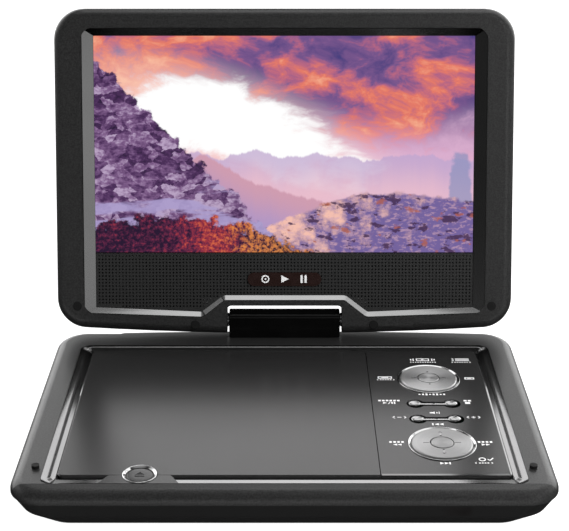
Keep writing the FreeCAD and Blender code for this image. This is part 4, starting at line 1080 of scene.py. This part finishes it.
def speaker_grille(material):
    """The grille, with a grid of holes all over it; the two loudspeakers show through those at its ends."""
    node = frame["nodes"]["grille_panel"]
    panel = bmesh.new()
    panel.from_mesh(node.data)
    bmesh.ops.remove_doubles(panel, verts=panel.verts, dist=1e-6)
    to_lid = LID.inverted()
    corners = [to_lid @ vert.co for vert in panel.verts]
    face, back = max(point.y for point in corners), min(point.y for point in corners)
    half = max(point.x for point in corners)
    foot, head = min(point.z for point in corners), max(point.z for point in corners)

    holes = bmesh.new()
    columns = int(half / HOLE_PITCH)
    rows = int((head - foot) / HOLE_PITCH)
    for column in range(-columns, columns + 1):
        for row in range(rows):
            x, up = column * HOLE_PITCH, head - (row + 0.75) * HOLE_PITCH
            if not grille_has_room(x, up, half):
                continue
            outline = circle_points(x, up, HOLE_RADIUS, 8)
            front = [holes.verts.new(on_lid(a, b, face + 0.5 * MM)) for a, b in outline]
            rear = [holes.verts.new(on_lid(a, b, back - 0.5 * MM)) for a, b in outline]
            closed_skin(holes, [front, rear])
    bmesh.ops.recalc_face_normals(holes, faces=holes.faces)
    piece = made("speaker_grille", panel, "lid", material)
    punch = placed("punch", bpy.data.meshes.new("punch"))
    holes.to_mesh(punch.data)
    holes.free()
    cut = piece.modifiers.new("holes", "BOOLEAN")
    cut.operation = "DIFFERENCE"
    cut.solver = "MANIFOLD"
    cut.object = punch
    bpy.context.view_layer.update()
    evaluated = piece.evaluated_get(bpy.context.evaluated_depsgraph_get())
    piece.data = bpy.data.meshes.new_from_object(evaluated)
    piece.modifiers.clear()
    bpy.data.objects.remove(punch)
    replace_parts(piece, "grille_panel")


def grille_has_room(x, up, half):
    """Whether a hole fits inside the grille's outline, which drops from the notch to the corners."""
    reach = abs(x)
    slope = min(max((reach - NOTCH_REACH) / (SLOPE_REACH - NOTCH_REACH), 0), 1)
    foot = NOTCH_FOOT + (SLOPE_FOOT - NOTCH_FOOT) * slope + max(reach - SLOPE_REACH, 0) * CORNER_RISE
    return reach < half - HOLE_MARGIN and up > foot + HOLE_MARGIN


# ---- The studio ----


def camera():
    """In front of the player and above it, looking down by about 22 degrees."""
    data = bpy.data.cameras.new("camera")
    data.lens = 88.83
    data.sensor_width = 36
    data.clip_start = 0.02
    viewer = placed("camera", data)
    viewer.location = (0, -0.6527, 0.3512)
    viewer.rotation_euler = (math.radians(68.075), 0, 0)
    bpy.context.scene.camera = viewer


def soft_light(name, place, target, width, height, brightness, in_gloss=True):
    """A flat lamp of even brightness. With in_gloss False it lights surfaces but isn't mirrored in them."""
    data = bpy.data.lights.new(name, "AREA")
    data.shape = "RECTANGLE"
    data.size = width
    data.size_y = height
    data.energy = brightness * math.pi * width * height
    light = placed(name, data)
    light.location = place
    light.rotation_euler = (Vector(target) - Vector(place)).to_track_quat("-Z", "Y").to_euler()
    light.visible_camera = False
    light.visible_glossy = in_gloss
    return light


def display_glow():
    """The lit display as a plain lamp on the lid, so that what the door mirrors of it stays neutral."""
    frame["nodes"]["display_glass"].visible_glossy = False
    middle = (SCREEN_FOOT + SCREEN_HEAD) / 2
    place = on_lid(0, middle, GLASS_FACE + 0.1 * MM)
    away = on_lid(0, middle, 1)
    size = (2 * SCREEN_HALF, SCREEN_HEAD - SCREEN_FOOT)
    light = soft_light("display_glow", place, away, *size, brightness=1.9)
    lid = frame["bodies"]["lid"]
    light.parent = lid
    light.matrix_parent_inverse = lid.matrix_world.inverted()


def backdrop():
    """White where the lens looks past the player. The player itself mirrors a dark room."""
    world = bpy.data.worlds.new("studio")
    world.use_nodes = True
    bpy.context.scene.world = world
    tree = world.node_tree
    nodes, links = tree.nodes, tree.links
    surround = nodes["Background"]

    # The room is drawn on the direction looked in, whose three parts run from -1 to 1. Each surface is
    # bounded by rises and falls, and ends with its brightness.
    across, along, up = parts_of(Field(tree, nodes.new("ShaderNodeTexCoord").outputs["Generated"]))
    aside = operate("ABSOLUTE", across)
    rear_wall = along.rise(0.15, 0.75) * up.rise(0.85, 0.42) * (0.10 + aside.rise(0.11, 0.20) * 2.6)
    front_wall = along.rise(-0.9, -0.3) * up.rise(0.9, 0.1) * 0.16
    walls = (rear_wall + front_wall + 0.03) * up.rise(-0.12, 0.0)
    table = along.rise(-0.5, -0.9) * up.rise(-0.42, -0.22) * up.rise(0.1, -0.05) * 0.9
    side_windows = (
        aside.rise(0.6, 0.85) * along.rise(0.7, 0.3) * along.rise(-0.4, 0.0) * up.rise(0.15, 0.4) * 1.2
    )
    ceiling = up.rise(0.80, 0.95) * 0.35
    room = walls + table + side_windows + ceiling

    feed(surround.inputs["Color"], (1, 1, 1))
    feed(surround.inputs["Strength"], room)
    white = nodes.new("ShaderNodeBackground")
    feed(white.inputs["Color"], (1, 1, 1))
    choice = nodes.new("ShaderNodeMixShader")
    links.new(nodes.new("ShaderNodeLightPath").outputs["Is Camera Ray"], choice.inputs[0])
    links.new(surround.outputs[0], choice.inputs[1])
    links.new(white.outputs[0], choice.inputs[2])
    links.new(choice.outputs[0], nodes["World Output"].inputs["Surface"])


def floor():
    size = 12
    mesh = bmesh.new()
    bmesh.ops.create_grid(mesh, x_segments=1, y_segments=1, size=size)
    data = bpy.data.meshes.new("floor")
    mesh.to_mesh(data)
    mesh.free()
    ground = placed("floor", data)
    glow = {"Emission_Color": grey(1), "Emission_Strength": 0.97}
    finish = Finish("floor", Base_Color=grey(0.4), Roughness=0.9, **glow)
    data.materials.append(finish.material)
    ground.visible_glossy = False


def studio():
    bpy.context.scene.view_settings.view_transform = "Standard"
    camera()
    backdrop()
    floor()
    display_glow()
    soft_light("top_light", (0.37, 0.32, 1.0), (0.37, 0.32, 0), 1.25, 0.62, brightness=1.5)
    soft_light("front_right_light", (0.82, -1.14, 0.47), (0, 0.05, 0.12), 0.5, 0.6, brightness=0.62)
    soft_light("fill_light", (0.42, -0.45, 0.52), (0, 0, 0.1), 0.5, 0.5, brightness=9.0, in_gloss=False)


# ---- Putting it together ----


OWN_FINISHES = {
    "rim_plastic": rim_plastic,
    "panel_finish": panel_finish,
    "steel": steel,
    "board_green": board_green,
    "cells": battery_wrap,
    "screen_window": screen_picture,
}

# The lightness of each round pad's spun metal. The front pad's is set lower as painted shade, to offset the
# display glow that it mirrors more strongly.
SPUN_LIGHTNESS_WITH_PAINTED_SHADE = {
    "rear_pad_cap": 0.55,
    "rear_pad_centre": 0.52,
    "front_pad_cap": 0.40,
    "front_pad_centre": 0.36,
}


def finish_for(slot):
    if slot in GRAINED:
        return grained(slot)
    if slot in CLOUDED:
        return clouded(slot)
    return OWN_FINISHES[slot]()


def dress_nodes():
    """Gives every CAD node the finish of its slot, and returns the material made for each slot."""
    materials = {}
    for node in frame["nodes"].values():
        for place in node.material_slots:
            slot = place.material.name.split(".")[0]
            if slot not in materials:
                materials[slot] = finish_for(slot).material
            place.material = materials[slot]
    # The front pad's metal is made darker than the rear's as painted shade.
    for name, lightness in SPUN_LIGHTNESS_WITH_PAINTED_SHADE.items():
        frame["nodes"][name].material_slots[0].material = spun_metal(name, centre_of(name), lightness)
    frame["nodes"]["turret_body"].material_slots[0].material = clouded("turret_gloss").material
    return materials


studio()
FINISHED = dress_nodes()
WHITE_INK = printed("white_ink", grey(0.82)).material
BLACK_INK = printed("black_ink", grey(0.006)).material
# Bright metal for the painted highlights along edges.
EDGE_HIGHLIGHT_METAL = clouded("edge_highlight_line").material
trim_channel(FINISHED["gloss_trim"])
button_housing(FINISHED["panel_finish"])
bright_ring("button_ring", "open_button_ring", BORE_RADIUS, BUTTON_RING_FALL, FINISHED["chrome_ring"])
button_cap(FINISHED["panel_finish"])
for pad in ("rear_pad", "front_pad"):
    bright_ring(pad + "_ring", pad + "_bezel", PAD_BORE_RADIUS, PAD_RING_FALL, FINISHED["chrome_ring"])
plate_edge_highlights(EDGE_HIGHLIGHT_METAL)
for rocker, keys in ROCKERS.items():
    rocker_key(keys + "_rocker", rocker, keys, FINISHED["silver_keys"])
panel_print(WHITE_INK)
pad_marks("rear_pad", "rear_pad_cap", "rear_disc", False, BLACK_INK, WHITE_INK)
pad_marks("front_pad", "front_pad_cap", "front_disc", True, BLACK_INK, WHITE_INK)
key_marks(BLACK_INK)
badge_symbols(printed("badge_silver", grey(0.75)).material)
display_highlight_lines(EDGE_HIGHLIGHT_METAL)
opening_corners(FINISHED["rim_plastic"])
speaker_grille(FINISHED["grille_plastic"])
